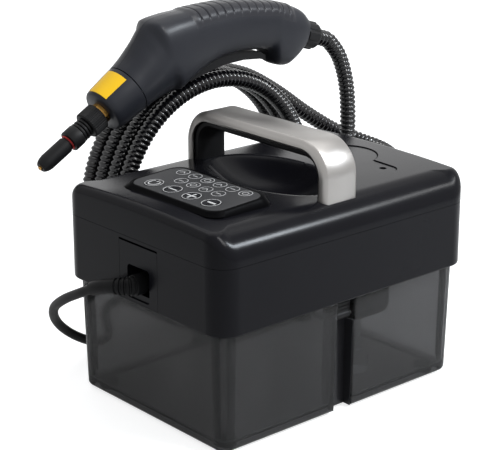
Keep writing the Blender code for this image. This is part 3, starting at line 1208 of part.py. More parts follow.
def gun():
    """Two shell halves, barrel, trigger with its pin, valve, grip pad, nozzle and hose nut."""
    shells = []
    for side, mark in ((-1, "left"), (1, "right")):
        rings = [gun_section(station, 0.0, side) for station in GUN_STATIONS]
        shells.append(put("gun_shell_" + mark, loft("gun_shell_" + mark, rings), MATT_BLACK))

    slot_size = (TRIGGER_WIDTH + 2 * TRIGGER_SIDE_GAP, SLOT_REAR + SLOT_FRONT, 4 * SLOT_RISE)
    place = gun_point(TRIGGER_Y, TRIGGER_Z)
    for shell in shells:
        slot = block("trigger_slot", slot_size, gun_point(TRIGGER_Y + (SLOT_REAR - SLOT_FRONT) / 2,
                                                          TRIGGER_Z - SLOT_RISE))
        cut(shell, tool("trigger_slot_" + shell.name, slot))
        bore = moved(rod("trigger_seat", TRIGGER_PIN + GAP, TRIGGER_PIN_LENGTH + 2 * GAP, 12),
                     (TRIGGER_PIN_LENGTH / 2 + GAP, 0.0, 0.0), FROM_X)
        cut(shell, tool("trigger_seat_" + shell.name, bore, location=place))
    pin = moved(rod("trigger_pin", TRIGGER_PIN, TRIGGER_PIN_LENGTH, 12), (TRIGGER_PIN_LENGTH / 2, 0.0, 0.0), FROM_X)
    put("trigger_pin", pin, STEEL, place)
    rings = []
    for x in (-TRIGGER_WIDTH / 2, TRIGGER_WIDTH / 2):
        rings.append([Vector((x, y * GUN_LENGTH, z * GUN_LENGTH)) for y, z in TRIGGER_SHARES])
    trigger = put("trigger", loft("trigger", rings), MATT_BLACK, place)
    bore = moved(rod("trigger_bore", TRIGGER_PIN + GAP, 2 * TRIGGER_WIDTH, 12), (TRIGGER_WIDTH, 0.0, 0.0), FROM_X)
    cut(trigger, tool("trigger_bore", bore, location=place))
    put("gun_grip_pad", grip_pad(), RUBBER)

    axis = Vector((0.0, -cos(GUN_PITCH), -sin(GUN_PITCH)))
    seam = gun_point(*GUN_STATIONS[0][0])
    aim = axis.to_track_quat("Z", "Y").to_matrix().to_4x4()

    def along(mesh, distance):
        return moved(mesh, seam + axis * distance, aim)

    front = BARREL_LENGTH
    lip = BARREL_RADIUS - BARREL_FRONT
    barrel_shares, neck_shares, spigot_share, tip_share = ((0.45, 0.8), 0.7), (0.85, 1.1), 0.8, 0.62
    (lip_share, length_share), rim_share = barrel_shares
    profile = [(BARREL_BORE, GAP), (BARREL_RADIUS, GAP), (BARREL_RADIUS - lip * lip_share, front * length_share),
               (BARREL_RADIUS - lip * rim_share, front - BARREL_EDGE), (BARREL_FRONT - NOZZLE_EDGE, front),
               (BARREL_BORE, front)]
    put("gun_barrel", along(turned("gun_barrel", profile, 20), 0.0), MATT_BLACK)

    begin = front + GAP
    tube_radius = BARREL_BORE - GAP
    valve = [(NOZZLE_BORE, -VALVE_REACH), (tube_radius, -VALVE_REACH), (tube_radius, front + 10 * GAP),
             (NOZZLE_BORE, front + 10 * GAP)]
    put("gun_valve", along(turned("gun_valve", valve, 12), 0.0), BRASS)

    nut_start = front + RING_LENGTH
    nut_end = nut_start + NUT_LENGTH
    ring = [(tube_radius + GAP, begin), (NOZZLE_RING, begin), (NOZZLE_RING, nut_start - GAP),
            (tube_radius + GAP, nut_start - GAP)]
    put("nozzle_ring", along(turned("nozzle_ring", ring, 14), 0.0), BRASS)
    nut = [(NOZZLE_BORE, nut_start), (NOZZLE_NUT - NOZZLE_EDGE, nut_start), (NOZZLE_NUT, nut_start + NOZZLE_EDGE),
           (NOZZLE_NUT, nut_end - NOZZLE_EDGE), (NOZZLE_NUT - NOZZLE_EDGE, nut_end), (NOZZLE_BORE, nut_end)]
    put("nozzle_nut", along(turned("nozzle_nut", nut, 18), 0.0), MATT_BLACK)
    neck_start = nut_end + GAP
    collar_start = nut_end + NECK_LENGTH
    collar_end = collar_start + COLLAR_LENGTH
    thin, thick = [NOZZLE_NECK * share for share in neck_shares]
    neck = [(NOZZLE_BORE, neck_start), (thin, neck_start)]
    for k in range(2):
        low = neck_start + (collar_start - neck_start) * (k + 0.25) / 2
        high = neck_start + (collar_start - neck_start) * (k + 0.75) / 2
        neck += [(thin, low), (thick, low), (thick, high), (thin, high)]
    spigot = NOZZLE_TIP * spigot_share
    neck += [(thin, collar_start), (NOZZLE_COLLAR - NOZZLE_EDGE, collar_start),
             (NOZZLE_COLLAR, collar_start + NOZZLE_EDGE), (NOZZLE_COLLAR, collar_end - NOZZLE_EDGE),
             (NOZZLE_COLLAR - NOZZLE_EDGE, collar_end), (spigot, collar_end),
             (spigot, collar_end + SPIGOT_LENGTH), (NOZZLE_BORE, collar_end + SPIGOT_LENGTH)]
    put("nozzle_collar", along(turned("nozzle_collar", neck, 12), 0.0), MATT_BLACK)
    half = ORING_THICKNESS / 2
    seal = [(spigot + GAP, collar_end + GAP), (NOZZLE_ORING - half, collar_end + GAP),
            (NOZZLE_ORING, collar_end + half), (NOZZLE_ORING - half, collar_end + ORING_THICKNESS),
            (spigot + GAP, collar_end + ORING_THICKNESS)]
    put("nozzle_oring", along(turned("nozzle_oring", seal, 12), 0.0), RED_SEAL)
    tip_start = collar_end + SPIGOT_LENGTH + GAP
    tip_end = tip_start + TIP_LENGTH
    tip = [(NOZZLE_BORE + GAP, tip_start), (NOZZLE_TIP, tip_start), (NOZZLE_TIP, tip_end - TIP_TAPER),
           (NOZZLE_TIP * tip_share, tip_end), (NOZZLE_BORE + GAP, tip_end)]
    put("nozzle_tip", along(turned("nozzle_tip", tip, 14), 0.0), MATT_BLACK)
    jet = [(NOZZLE_BORE / 2, tip_start), (NOZZLE_BORE, tip_start), (NOZZLE_BORE, tip_end + JET_PROUD),
           (NOZZLE_BORE / 2, tip_end + JET_PROUD)]
    put("nozzle_jet", along(turned("nozzle_jet", jet, 10), 0.0), BRASS)

    rear = gun_rear_axis()
    turn = rear.to_track_quat("Z", "Y").to_matrix().to_4x4()
    length = HOSE_NUT_LENGTH
    nut = [(HOSE_BORE, GAP), (HOSE_NUT_RADIUS * 0.85, GAP), (HOSE_NUT_RADIUS, length * 0.15),
           (HOSE_NUT_RADIUS, length * 0.8), (HOSE_NUT_RADIUS * 0.8, length), (HOSE_BORE, length)]
    put("gun_hose_nut", moved(turned("gun_hose_nut", nut, 16), gun_rear(), turn), MATT_BLACK)


def build():
    tub()
    latches()
    housing_body()
    top_cover()
    handle()
    keypad()
    filler_lid()
    filler_neck()
    cord_hatch()
    base_plate()
    machinery()
    outlet_fitting()
    gun()
    hose()
    mains_cord()


build()
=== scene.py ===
"""Looks of the steam cleaner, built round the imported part.  Metres, +Z up, -Y is the keypad side."""
import json
from itertools import accumulate
from math import asin, atan2, ceil, cos, pi, radians, sin, sqrt, tan

import bmesh
import bpy
from mathutils import Matrix, Vector


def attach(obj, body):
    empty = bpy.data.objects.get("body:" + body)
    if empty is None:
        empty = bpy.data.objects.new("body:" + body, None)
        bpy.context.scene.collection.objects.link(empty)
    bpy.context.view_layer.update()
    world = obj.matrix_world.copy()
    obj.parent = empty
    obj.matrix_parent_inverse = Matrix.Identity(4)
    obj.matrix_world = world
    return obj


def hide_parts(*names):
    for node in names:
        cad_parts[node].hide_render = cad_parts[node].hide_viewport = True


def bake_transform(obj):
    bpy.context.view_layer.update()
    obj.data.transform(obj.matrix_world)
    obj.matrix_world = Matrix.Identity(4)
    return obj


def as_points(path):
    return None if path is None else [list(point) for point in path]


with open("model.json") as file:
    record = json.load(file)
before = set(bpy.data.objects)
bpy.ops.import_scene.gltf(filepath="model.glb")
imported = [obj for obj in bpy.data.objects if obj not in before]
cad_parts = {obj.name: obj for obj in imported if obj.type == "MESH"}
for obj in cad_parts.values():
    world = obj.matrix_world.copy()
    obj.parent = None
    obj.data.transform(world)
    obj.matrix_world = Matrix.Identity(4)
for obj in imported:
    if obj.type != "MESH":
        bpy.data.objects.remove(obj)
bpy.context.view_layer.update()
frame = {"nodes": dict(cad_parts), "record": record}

# Sizes and routes of the part's source, in its machine frame
MACHINE = Vector((0.0223, -0.01057, 0.0))
GAP = 0.0003
FOOT_HEIGHT = 0.006
TUB_RIM = 0.109
TUB_HEIGHT = 0.103
TUB_WALL = 0.003
TUB_TAPER = 0.0025
TUB_BOTTOM_RADIUS = 0.007
GROOVE_WIDTH = 0.021
GROOVE_DEPTH = 0.013
HALF_X = 0.104
HALF_Y = 0.142
HEAD_CORNER = 0.02
HEAD_WALL = 0.0028
HEAD_BOTTOM = 0.104
SEAM = 0.161
CROWN = 0.1905
SHOULDER = 0.024
CROWN_DROP = 0.0035
END_RADIUS = 0.007
TUB_HALF_X = 0.0977
TUB_HALF_Y = 0.1357
TUB_CORNER = 0.0137
WELL_HALF_X = 0.07
WELL_HALF_Y = 0.041
WELL_DEPTH = 0.024
HANDLE_HALF = 0.0895
HANDLE_RISE = 0.0445
HANDLE_WIDTH = 0.039
HANDLE_CORNER = 0.03
HANDLE_SHELL = 0.0045
HANDLE_LINING = 0.0065
HANDLE_BEVEL = 0.0045
HANDLE_SEAT = 0.0013
HANDLE_DEPTH = HANDLE_SHELL + HANDLE_LINING + HANDLE_BEVEL + 2 * GAP
PANEL_X = 0.006
PANEL_Y = -0.0855
PANEL_WIDTH = 0.112
PANEL_LENGTH = 0.055
PANEL_CORNER = 0.012
PANEL_THICKNESS = 0.0012
PANEL_TILT = radians(3.0)
BEZEL_RIM = 0.0022
BEZEL_FLARE = 0.0062
BEZEL_RISE = 0.0045
BEZEL_PLUG = 0.006
KEY_RADIUS = 0.0086
KEY_PITCH = 0.0245
KEY_HEIGHT = 0.0036
KEY_PROUD = 0.0003
KEY_ROW = -0.0145
LENS_RADIUS = 0.0052
LENS_PITCH = 0.016
LENS_ROWS = (0.004, 0.0192)
LENS_COUNTS = (4, 6)
LENS_SHEET = 0.001
LID_Y = 0.087
LID_RADIUS = 0.032
LID_THICKNESS = 0.0022
LID_SINK = 0.0008
LID_PLUG = 0.008
TONGUE_WIDTH = 0.019
TONGUE_REACH = 0.064
LID_HOLE = 0.0032
LID_HOLE_INSET = 0.013
NECK_BORE = 0.015
NECK_WALL = 0.0022
LATCH_X = 0.0912
LATCH_Z = 0.0872
LATCH_WIDTH = 0.0155
LATCH_REACH = 0.0148
LATCH_THICKNESS = 0.004
LATCH_BARREL = 0.0032
LATCH_PIN = 0.0015
HOSE_RADIUS = 0.008
HOSE_ROOT = 0.0067
HOSE_TURNS = 3.5
HOSE_PITCH = 0.0168
HOSE_LOOP = 0.113
HOSE_LOOP_Y = 0.045
HOSE_LOOP_Z = 0.13
HOSE_WALL_GAP = 0.003
HOSE_FLOOR = 0.0006
RIB_PITCH = 0.0047
FITTING_X = -0.062
FITTING_Z = 0.138
FITTING_REACH = 0.026
FITTING_RADIUS = 0.0105
HOSE_NUT_RADIUS = 0.0135
HOSE_NUT_LENGTH = 0.02
HOSE_OVERLAP = 0.002
CORD_RADIUS = 0.0042
HATCH_WIDTH = 0.05
HATCH_LENGTH = 0.05
HATCH_SLOT = 0.0018
CORD_PORT_WIDTH = 0.029
CORD_PORT_TOP = 0.138
CORD_PORT_LOW = 0.109
CORD_BOX_LOW = 0.1116
CORD_PORT_DEPTH = 0.014
CORD_Z = 0.1235
RELIEF_LENGTH = 0.04
RELIEF_BASE = 0.0088
RELIEF_TIP = 0.006
COIL_X = -0.262
COIL_Y = 0.125
COIL_OUTER = 0.058
COIL_PITCH = 0.009
COIL_LOOPS = 3
COIL_FLOOR = 0.0022
PLUG_LENGTH = 0.048
PLUG_RADIUS = 0.0148
PLUG_LEAD = 0.036
GUN_X = -0.125
GUN_PITCH = radians(30.0)
GUN_LENGTH = 0.2045
GUN_WALL = 0.003
BARREL_RADIUS = 0.023
BARREL_FRONT = 0.0195
BARREL_LENGTH = 0.033
BARREL_BORE = 0.0075
TRIGGER_WIDTH = 0.014
TRIGGER_SIDE_GAP = 0.0006
TRIGGER_Y = 0.014
TRIGGER_Z = 0.259
SLOT_FRONT = 0.01
SLOT_REAR = 0.09
SLOT_RISE = 0.0145
NOZZLE_NUT = 0.0125
NOZZLE_NECK = 0.0085
NOZZLE_COLLAR = 0.0098
NOZZLE_TIP = 0.0074
NOZZLE_BORE = 0.002
RING_LENGTH = 0.0045
NUT_LENGTH = 0.0155
NECK_LENGTH = 0.01
COLLAR_LENGTH = 0.0115
SPIGOT_LENGTH = 0.003
TIP_LENGTH = 0.0312
TIP_TAPER = 0.008
PAD_RIBS = 14
PAD_THICKNESS = 0.001
PAD_FIRST = 5
PAD_LAST = 12
PAD_EDGE = 24.0
LABEL_START = 0.005
LABEL_END = 0.0305
LABEL_LOW = 48.0
LABEL_HIGH = 108.0

HOSE_TAIL_ROUTE = ((-0.125, 0.19, 0.258), (-0.1245, 0.203, 0.242), (-0.123, 0.211, 0.218), (-0.121, 0.213, 0.192),
    (-0.118, 0.21, 0.16), (-0.1155, 0.2, 0.118), (-0.114, 0.182, 0.078), (-0.1136, 0.152, 0.042),
    (-0.1142, 0.122, 0.0205), (-0.115, 0.098, 0.011))
HOSE_LEAD_ROUTE = ((-0.174, 0.085, 0.238), (-0.174, 0.125, 0.226), (-0.172, 0.163, 0.204), (-0.167, 0.198, 0.178),
    (-0.156, 0.228, 0.157), (-0.137, 0.248, 0.146), (-0.112, 0.254, 0.141), (-0.088, 0.244, 0.139),
    (-0.07, 0.222, 0.138))
CORD_ROUTE = ((-0.033, -0.164, 0.116), (-0.052, -0.165, 0.1065), (-0.078, -0.162, 0.093), (-0.105, -0.154, 0.076),
    (-0.124, -0.142, 0.058), (-0.134, -0.128, 0.042), (-0.14, -0.11, 0.027), (-0.145, -0.088, 0.014),
    (-0.156, -0.064, 0.0068), (-0.176, -0.046, 0.0064), (-0.2, -0.032, 0.0064), (-0.222, -0.012, 0.0064),
    (-0.233, 0.014, 0.0064), (-0.231, 0.042, 0.0064))
GUN_SHARES = ((-0.335, -0.0425, 30.0, 0.1125, 0.1125), (-0.2836, -0.0098, 29.0, 0.1232, 0.1134),
    (-0.2274, 0.0293, 27.0, 0.1467, 0.1154), (-0.1663, 0.0724, 24.0, 0.1721, 0.1154),
    (-0.0929, 0.1002, 20.0, 0.1604, 0.1115), (-0.0098, 0.1222, 16.0, 0.1418, 0.1051),
    (0.088, 0.1418, 11.0, 0.1257, 0.0993), (0.1956, 0.1506, 4.0, 0.1174, 0.0958),
    (0.3032, 0.1482, -4.0, 0.1115, 0.0939), (0.4108, 0.1359, -10.0, 0.1086, 0.0929),
    (0.4597, 0.1247, -10.0, 0.1125, 0.0929), (0.4939, 0.0905, -8.0, 0.1379, 0.0919),
    (0.5623, 0.0709, -8.0, 0.1379, 0.088), (0.621, 0.0675, -12.0, 0.1125, 0.0807),
    (0.665, 0.0645, -17.0, 0.0733, 0.0709))

CUT, JOIN = "DIFFERENCE", "UNION"
CORNERS = ((1, 1, 0), (-1, 1, 90), (-1, -1, 180), (1, -1, 270))
SIDES = ((-1, "left"), (1, "right"))
PROUD = 0.004
PRINT = 0.00008
GRAIN_DEPTH = 0.00008
DRIFT_SCALE = 28.0
PAINTS = {}
SLOTS = {row["node"]: row["material_slot"] for row in frame["record"]["subparts"]}


def feed(tree, node, sockets):
    """Set the node's inputs to values, or join them to sockets or to nodes' first outputs."""
    for key, value in sockets.items():
        if isinstance(value, bpy.types.Node):
            value = value.outputs[0]
        if isinstance(value, bpy.types.NodeSocket):
            tree.links.new(value, node.inputs[key])
        else:
            node.inputs[key].default_value = value
    return node


def add(tree, kind, sockets, **settings):
    node = tree.nodes.new("ShaderNode" + kind)
    for key, value in settings.items():
        setattr(node, key, value)
    return feed(tree, node, sockets)


def linear(level):
    """Levels of a picture as the renderer wants them."""
    return tuple((c / 12.92 if c <= 0.04045 else ((c + 0.055) / 1.055) ** 2.4) for c in level)


def surface(name, level, roughness, specular=0.5, grain=1400.0, relief=0.12, wander=0.05, shade=0.08, metallic=0.0):
    """Finish with fine grain in the normals, and gloss and tone that drift over the part."""
    PAINTS[name] = bpy.data.materials.new(name)
    PAINTS[name].use_nodes = True
    tree = PAINTS[name].node_tree
    place = add(tree, "TexCoord", {}).outputs["Object"]
    fine = add(tree, "TexNoise", {"Vector": place, "Scale": grain, "Detail": 3.0})
    bump = add(tree, "Bump", {"Height": fine, "Strength": relief, "Distance": GRAIN_DEPTH})
    drift = add(tree, "TexNoise", {"Vector": place, "Scale": DRIFT_SCALE, "Detail": 4.0})
    gloss = add(tree, "MapRange", {"Value": drift, "From Min": 0.3, "From Max": 0.7,
        "To Min": max(roughness - wander, 0.02), "To Max": roughness + wander})
    low, high = [(*[min(c * (1 + side * shade), 1.0) for c in linear(level)], 1.0) for side in (-1, 1)]
    tone = add(tree, "Mix", {"Factor": drift, "A": low, "B": high}, data_type="RGBA")
    feed(tree, tree.nodes["Principled BSDF"],
        {"Base Color": tone.outputs["Result"], "Roughness": gloss, "Normal": bump, "Metallic": metallic,
        "Specular IOR Level": specular})


def see_through(name, weight, bend, density=0.0):
    """Lets light in; DENSITY darkens it by the length of its way through the wall."""
    tree = PAINTS[name].node_tree
    feed(tree, tree.nodes["Principled BSDF"], {"Transmission Weight": weight, "IOR": bend})
    if density:
        smoke = add(tree, "VolumeAbsorption", {"Color": (0.0, 0.0, 0.0, 1.0), "Density": density})
        feed(tree, tree.nodes["Material Output"], {"Volume": smoke})


surface("housing_black", (0.055, 0.055, 0.07), 0.21, 0.085, relief=0.06, wander=0.02)
surface("matt_black", (0.075, 0.075, 0.08), 0.45, 0.14, grain=1100.0, relief=0.2)
surface("smoked_tub", (0.76, 0.76, 0.765), 0.09, 0.4, grain=60.0, relief=0.01, wander=0.01)
surface("satin_silver", (0.61, 0.6, 0.59), 0.36, grain=2600.0, relief=0.04, metallic=1.0, shade=0.02)
surface("panel_grey", (0.21, 0.21, 0.215), 0.32, 0.15, relief=0.05)
surface("key_dark", (0.12, 0.12, 0.13), 0.2, 0.25, relief=0.04)
surface("rubber_black", (0.05, 0.05, 0.055), 0.45, 0.1, grain=900.0, relief=0.2)
surface("hose_black", (0.04, 0.04, 0.05), 0.13, 0.45, relief=0.03, wander=0.02)
surface("brass", (0.78, 0.6, 0.32), 0.26, relief=0.06, metallic=1.0, shade=0.06)
surface("steel", (0.6, 0.61, 0.62), 0.3, relief=0.06, metallic=1.0)
surface("red_seal", (0.68, 0.13, 0.12), 0.42, 0.3)
surface("board_green", (0.1, 0.35, 0.2), 0.4)
surface("mark_grey", (0.74, 0.74, 0.74), 0.45, relief=0.02, shade=0.04)
surface("label_yellow", (0.87, 0.69, 0.03), 0.4, 0.3, relief=0.03, shade=0.03)
surface("gun_grey", (0.13, 0.135, 0.155), 0.34, 0.18, grain=1200.0)
surface("bezel_black", (0.02, 0.02, 0.025), 0.4, 0.015, relief=0.06)
surface("pad_grey", (0.14, 0.142, 0.16), 0.36, 0.22, grain=1500.0, relief=0.15)
surface("clear_plastic", (0.9, 0.91, 0.92), 0.16, 0.4, relief=0.02, wander=0.03)
see_through("smoked_tub", 0.96, 1.17, 206.0)
see_through("clear_plastic", 0.9, 1.12)


def placed(name, data):
    made = bpy.data.objects.new(name, data)
    bpy.context.scene.collection.objects.link(made)
    return made


camera = placed("camera", bpy.data.cameras.new("camera"))
camera.data.sensor_width = 36.0
camera.data.lens = 115.64
camera.matrix_world = Matrix(((0.65837, -0.23768, 0.71418, 1.00328), (0.75269, 0.2079, -0.62468, -0.89006),
    (0.0, 0.94883, 0.31578, 0.58165), (0.0, 0.0, 0.0, 1.0)))
bpy.context.scene.camera = camera


def made_mesh(bm):
    mesh = bpy.data.meshes.new("shape")
    bm.to_mesh(mesh)
    bm.free()
    return mesh


def loft(rings, closed=False, fold=None):
    """Skin rings of equal point counts; the ends are capped unless the rings close on themselves.
    FOLD is the point about which a narrow end ring is bridged to its own other side."""
    count = len(rings[0])
    last = (len(rings) - 1) * count
    faces = []
    for r in range(len(rings) if closed else len(rings) - 1):
        low, high = r * count, (r + 1) % len(rings) * count
        for k in range(count):
            following = (k + 1) % count
            faces.append((low + k, low + following, high + following, high + k))
    if fold is not None:
        half = count // 2
        bridges = [(0, 1, -1)] + [(k, k + 1, -k - 1, -k) for k in range(1, half - 1)] + [(half - 1, half, 1 - half)]
        faces += [tuple(first + (fold + m) % count for m in bridge) for first in (0, last) for bridge in bridges]
    elif not closed:
        faces += [tuple(reversed(range(count))), tuple(range(last, last + count))]
    bm = bmesh.new()
    verts = [bm.verts.new(p) for ring in rings for p in ring]
    for face in faces:
        bm.faces.new([verts[k] for k in face])
    bmesh.ops.recalc_face_normals(bm, faces=bm.faces)
    return made_mesh(bm)


def arc(center, radius, start, end, steps):
    turns = [radians(start + (end - start) * k / steps) for k in range(steps + 1)]
    return [(center[0] + radius * cos(turn), center[1] + radius * sin(turn)) for turn in turns]


def mirrored(half):
    """Outline from one half of it; the other half has the opposite y."""
    return half + [(x, -y) for x, y in reversed(half)]


def rounded_outline(half_x, half_y, radius, steps=10, splits_x=1, splits_y=1):
    """Rounded rectangle, counter-clockwise, its sides cut into spans."""
    points = []
    for side_x, side_y, start in CORNERS:
        center = (side_x * (half_x - radius), side_y * (half_y - radius))
        points += arc(center, radius, start, start + 90, steps)
        x, y = points[-1]
        if side_x * side_y > 0:
            points += [(x * (1 - 2 * k / splits_x), y) for k in range(1, splits_x)]
        else:
            points += [(x, y * (1 - 2 * k / splits_y)) for k in range(1, splits_y)]
    return points


def level_ring(half_x, half_y, radius, height, center=(0.0, 0.0)):
    return [Vector((center[0] + x, center[1] + y, height)) for x, y in rounded_outline(half_x, half_y, radius)]


def rolled(ring, inset, radius, low, turns):
    """Rings up a rolled lower edge, by a function that gives the ring at an inset and a height."""
    return [ring(inset + radius * (1 - cos(radians(t))), low + radius * (1 - sin(radians(t)))) for t in turns]


def round_ring(radii, height):
    """Points evenly round Z, each at its own radius."""
    turns = [2 * pi * k / len(radii) for k in range(len(radii))]
    return [Vector((radius * cos(turn), radius * sin(turn), height)) for radius, turn in zip(radii, turns)]


def turned(profile, sides=48):
    """Solid turned round Z from (radius, height) pairs."""
    rings = [round_ring([max(radius, 1e-5)] * sides, height) for radius, height in profile]
    return loft(rings, closed=profile[0][0] > 0)


def rod(radius, length, sides=32):
    return turned([(0.0, 0.0), (radius, 0.0), (radius, length), (0.0, length)], sides)


def block(size, center):
    bm = bmesh.new()
    bmesh.ops.create_cube(bm, size=1.0)
    bmesh.ops.scale(bm, vec=size, verts=bm.verts)
    bmesh.ops.translate(bm, vec=center, verts=bm.verts)
    return made_mesh(bm)


def moved(mesh, location, rotation=None):
    if rotation is not None:
        mesh.transform(rotation)
    mesh.transform(Matrix.Translation(Vector(location)))
    return mesh


FROM_X = Matrix.Rotation(radians(-90.0), 4, "Y")
TO_Y = Matrix.Rotation(radians(-90.0), 4, "X")


def joined(meshes):
    bm = bmesh.new()
    for mesh in meshes:
        bm.from_mesh(mesh)
    return made_mesh(bm)


def carved(mesh, steps, edge=0.0, segments=2):
    """The mesh after joining and cutting others, with its sharp edges rounded by EDGE."""
    made = placed("work", mesh)
    others = []
    for operation, other in steps:
        others.append(placed("tool", other))
        modifier = made.modifiers.new("step", "BOOLEAN")
        modifier.operation = operation
        modifier.object = others[-1]
    if edge:
        rounding = made.modifiers.new("edges", "BEVEL")
        rounding.width = edge
        rounding.segments = segments
        rounding.limit_method = "ANGLE"
        rounding.angle_limit = radians(40.0)
    bpy.context.view_layer.update()
    result = bpy.data.meshes.new_from_object(made.evaluated_get(bpy.context.evaluated_depsgraph_get()))
    for item in [made] + others:
        bpy.data.objects.remove(item, do_unlink=True)
    return result


def piece(name, mesh, paint, nodes="", body="head_body", slot=None, sharp=38.0, flat=False):
    """Place a mesh given in the machine frame. The slot that comes of SLOT or the paint is worked out but not used.
    """
    mesh.name = name
    mesh.transform(Matrix.Translation(MACHINE))
    made = placed(name, mesh)
    mesh.materials.clear()
    mesh.materials.append(PAINTS[paint])
    mesh.shade_smooth()
    mesh.set_sharp_from_angle(angle=radians(sharp))
    if flat:
        made.modifiers.new("even_faces", "WEIGHTED_NORMAL").keep_sharp = True
    if body:
        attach(made, body)
    if nodes:
        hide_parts(*nodes.split())
    slot = slot or (paint if paint in SLOTS.values() else None)
    return made


def spline(a, b, c, d, t):
    """Catmull-Rom curve from B to C."""
    return 0.5 * ((2 * b) + (c - a) * t + (2 * a - 5 * b + 4 * c - d) * t ** 2 + (3 * b - a - 3 * c + d) * t ** 3)


def smooth(values, steps):
    """Curve through points or numbers, STEPS spans between neighbours."""
    ends = [2 * values[0] - values[1], *values, 2 * values[-1] - values[-2]]
    curve = [spline(*ends[k - 1:k + 3], step / steps) for k in range(1, len(ends) - 2) for step in range(steps)]
    return curve + [values[-1]]


def smooth_path(points, steps):
    return smooth([Vector(point) for point in points], steps)


def walked(spans, count):
    """Where COUNT even steps along spans of these lengths come: the span's number and the share of it."""
    lengths = [0.0, *accumulate(spans)]
    k = 0
    for step in range(count + 1):
        target = lengths[-1] * step / count
        while k < len(spans) - 1 and lengths[k + 1] < target:
            k += 1
        span = lengths[k + 1] - lengths[k]
        yield k, (target - lengths[k]) / span if span else 0.0


def span_lengths(path):
    return [(b - a).length for a, b in zip(path, path[1:])]


def resample(path, count):
    return [path[k].lerp(path[k + 1], share) for k, share in walked(span_lengths(path), count)]


def path_length(path):
    return sum(span_lengths(path))


def tube(path, radii, sides):
    """Closed tube along a path; the cross sections are carried along without twist."""
    rings = []
    normal = None
    for k, point in enumerate(path):
        before, after = path[max(k - 1, 0)], path[min(k + 1, len(path) - 1)]
        heading = (after - before).normalized()
        if normal is None:
            normal = heading.orthogonal().normalized()
        normal = (normal - heading * normal.dot(heading)).normalized()
        side = heading.cross(normal)
        rings.append([point + (normal * cos(2 * pi * i / sides) + side * sin(2 * pi * i / sides)) * radii[k]
            for i in range(sides)])
    return loft(rings)


RIB_STEPS = 8


def ribbed(path):
    """Corrugated tube: rounded crests with narrow grooves."""
    points = resample(path, max(int(round(path_length(path) / RIB_PITCH)), 4) * RIB_STEPS)
    waves = [0.5 + 0.5 * cos(2 * pi * k / RIB_STEPS) for k in range(len(points))]
    return tube(points, [HOSE_ROOT + (HOSE_RADIUS - HOSE_ROOT) * wave ** 0.55 for wave in waves], 26)


def hose_loop_point(turn):
    angle = -pi / 2 - 2 * pi * turn
    rise = HOSE_LOOP if sin(angle) > 0 else HOSE_LOOP_Z - HOSE_RADIUS - HOSE_FLOOR
    first_x = -HALF_X - HOSE_WALL_GAP - HOSE_RADIUS
    return Vector((first_x - HOSE_PITCH * turn, HOSE_LOOP_Y + HOSE_LOOP * cos(angle),
        HOSE_LOOP_Z + rise * sin(angle)))


def facing(axis):
    return axis.to_track_quat("Z", "Y").to_matrix().to_4x4()


def gun_point(y, z):
    return Vector((GUN_X, y, z))


def gun_station(k):
    y, z, lean, height, width = GUN_SHARES[k]
    return [TRIGGER_Y + y * GUN_LENGTH, TRIGGER_Z + z * GUN_LENGTH, lean, height * GUN_LENGTH, width * GUN_LENGTH]


def gun_rear():
    y, z, lean = gun_station(-1)[:3]
    lean = radians(lean)
    return gun_point(y, z), Vector((0.0, cos(lean), sin(lean)))


def shifted(path):
    return [p + MACHINE for p in path]


def hose():
    steps = ceil(HOSE_TURNS * 96)
    straight = Vector((0.0, 1.0, 0.0)) * 2 * HOSE_RADIUS
    coil = [hose_loop_point(HOSE_TURNS * k / steps) for k in range(steps + 1)]
    coil = [coil[0] + straight] + coil + [coil[-1] + straight]
    rear, rear_axis = gun_rear()
    first = rear + rear_axis * (HOSE_NUT_LENGTH - HOSE_OVERLAP)
    tail = smooth_path([first, first + rear_axis * 2 * HOSE_RADIUS, *HOSE_TAIL_ROUTE, coil[0]], 12)
    wall_end = Vector((FITTING_X, HALF_Y + FITTING_REACH - HOSE_OVERLAP, FITTING_Z))
    run = coil[:-2] + smooth_path([coil[-2], coil[-1], *HOSE_LEAD_ROUTE, wall_end + straight, wall_end], 12)
    run.reverse()
    tail_piece = piece("hose_tail_ribbed", ribbed(tail), "hose_black", "hose_tail", None, sharp=60.0)
    run_piece = piece("hose_run_ribbed", ribbed(run), "hose_black", "hose_coil hose_lead", sharp=60.0)
    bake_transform(tail_piece)
    path_length(tail)
    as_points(shifted(resample(tail, 60)))
    path_length(run)
    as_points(shifted(resample(run, 320)))


def relief_path():
    root = Vector((0.0, -HALF_Y + CORD_PORT_DEPTH + HEAD_WALL / 2 - GAP, CORD_Z))
    first = Vector((0.0, -HALF_Y - RELIEF_BASE / 2, CORD_Z))
    tip, onward = Vector(CORD_ROUTE[0]), Vector(CORD_ROUTE[1])
    bend = first + Vector((0.0, -RELIEF_BASE, 0.0))
    near_tip = tip - (onward - tip).normalized() * RELIEF_LENGTH * 0.45
    path = [root, root.lerp(first, 0.5)]
    for k in range(73):
        t = k / 72
        path.append((1 - t) ** 3 * first + 3 * (1 - t) ** 2 * t * bend + 3 * (1 - t) * t ** 2 * near_tip
            + t ** 3 * tip)
    return path


def coil_point(turn):
    inward = min(turn, 2 * COIL_LOOPS - turn)
    climb = min(max((turn - COIL_LOOPS + 0.25) / 0.5, 0.0), 1.0)
    radius = COIL_OUTER - COIL_PITCH * inward
    angle = -pi / 2 - 2 * pi * turn
    height = COIL_FLOOR + CORD_RADIUS + COIL_PITCH * climb
    return Vector((COIL_X + radius * cos(angle), COIL_Y + radius * sin(angle), height))


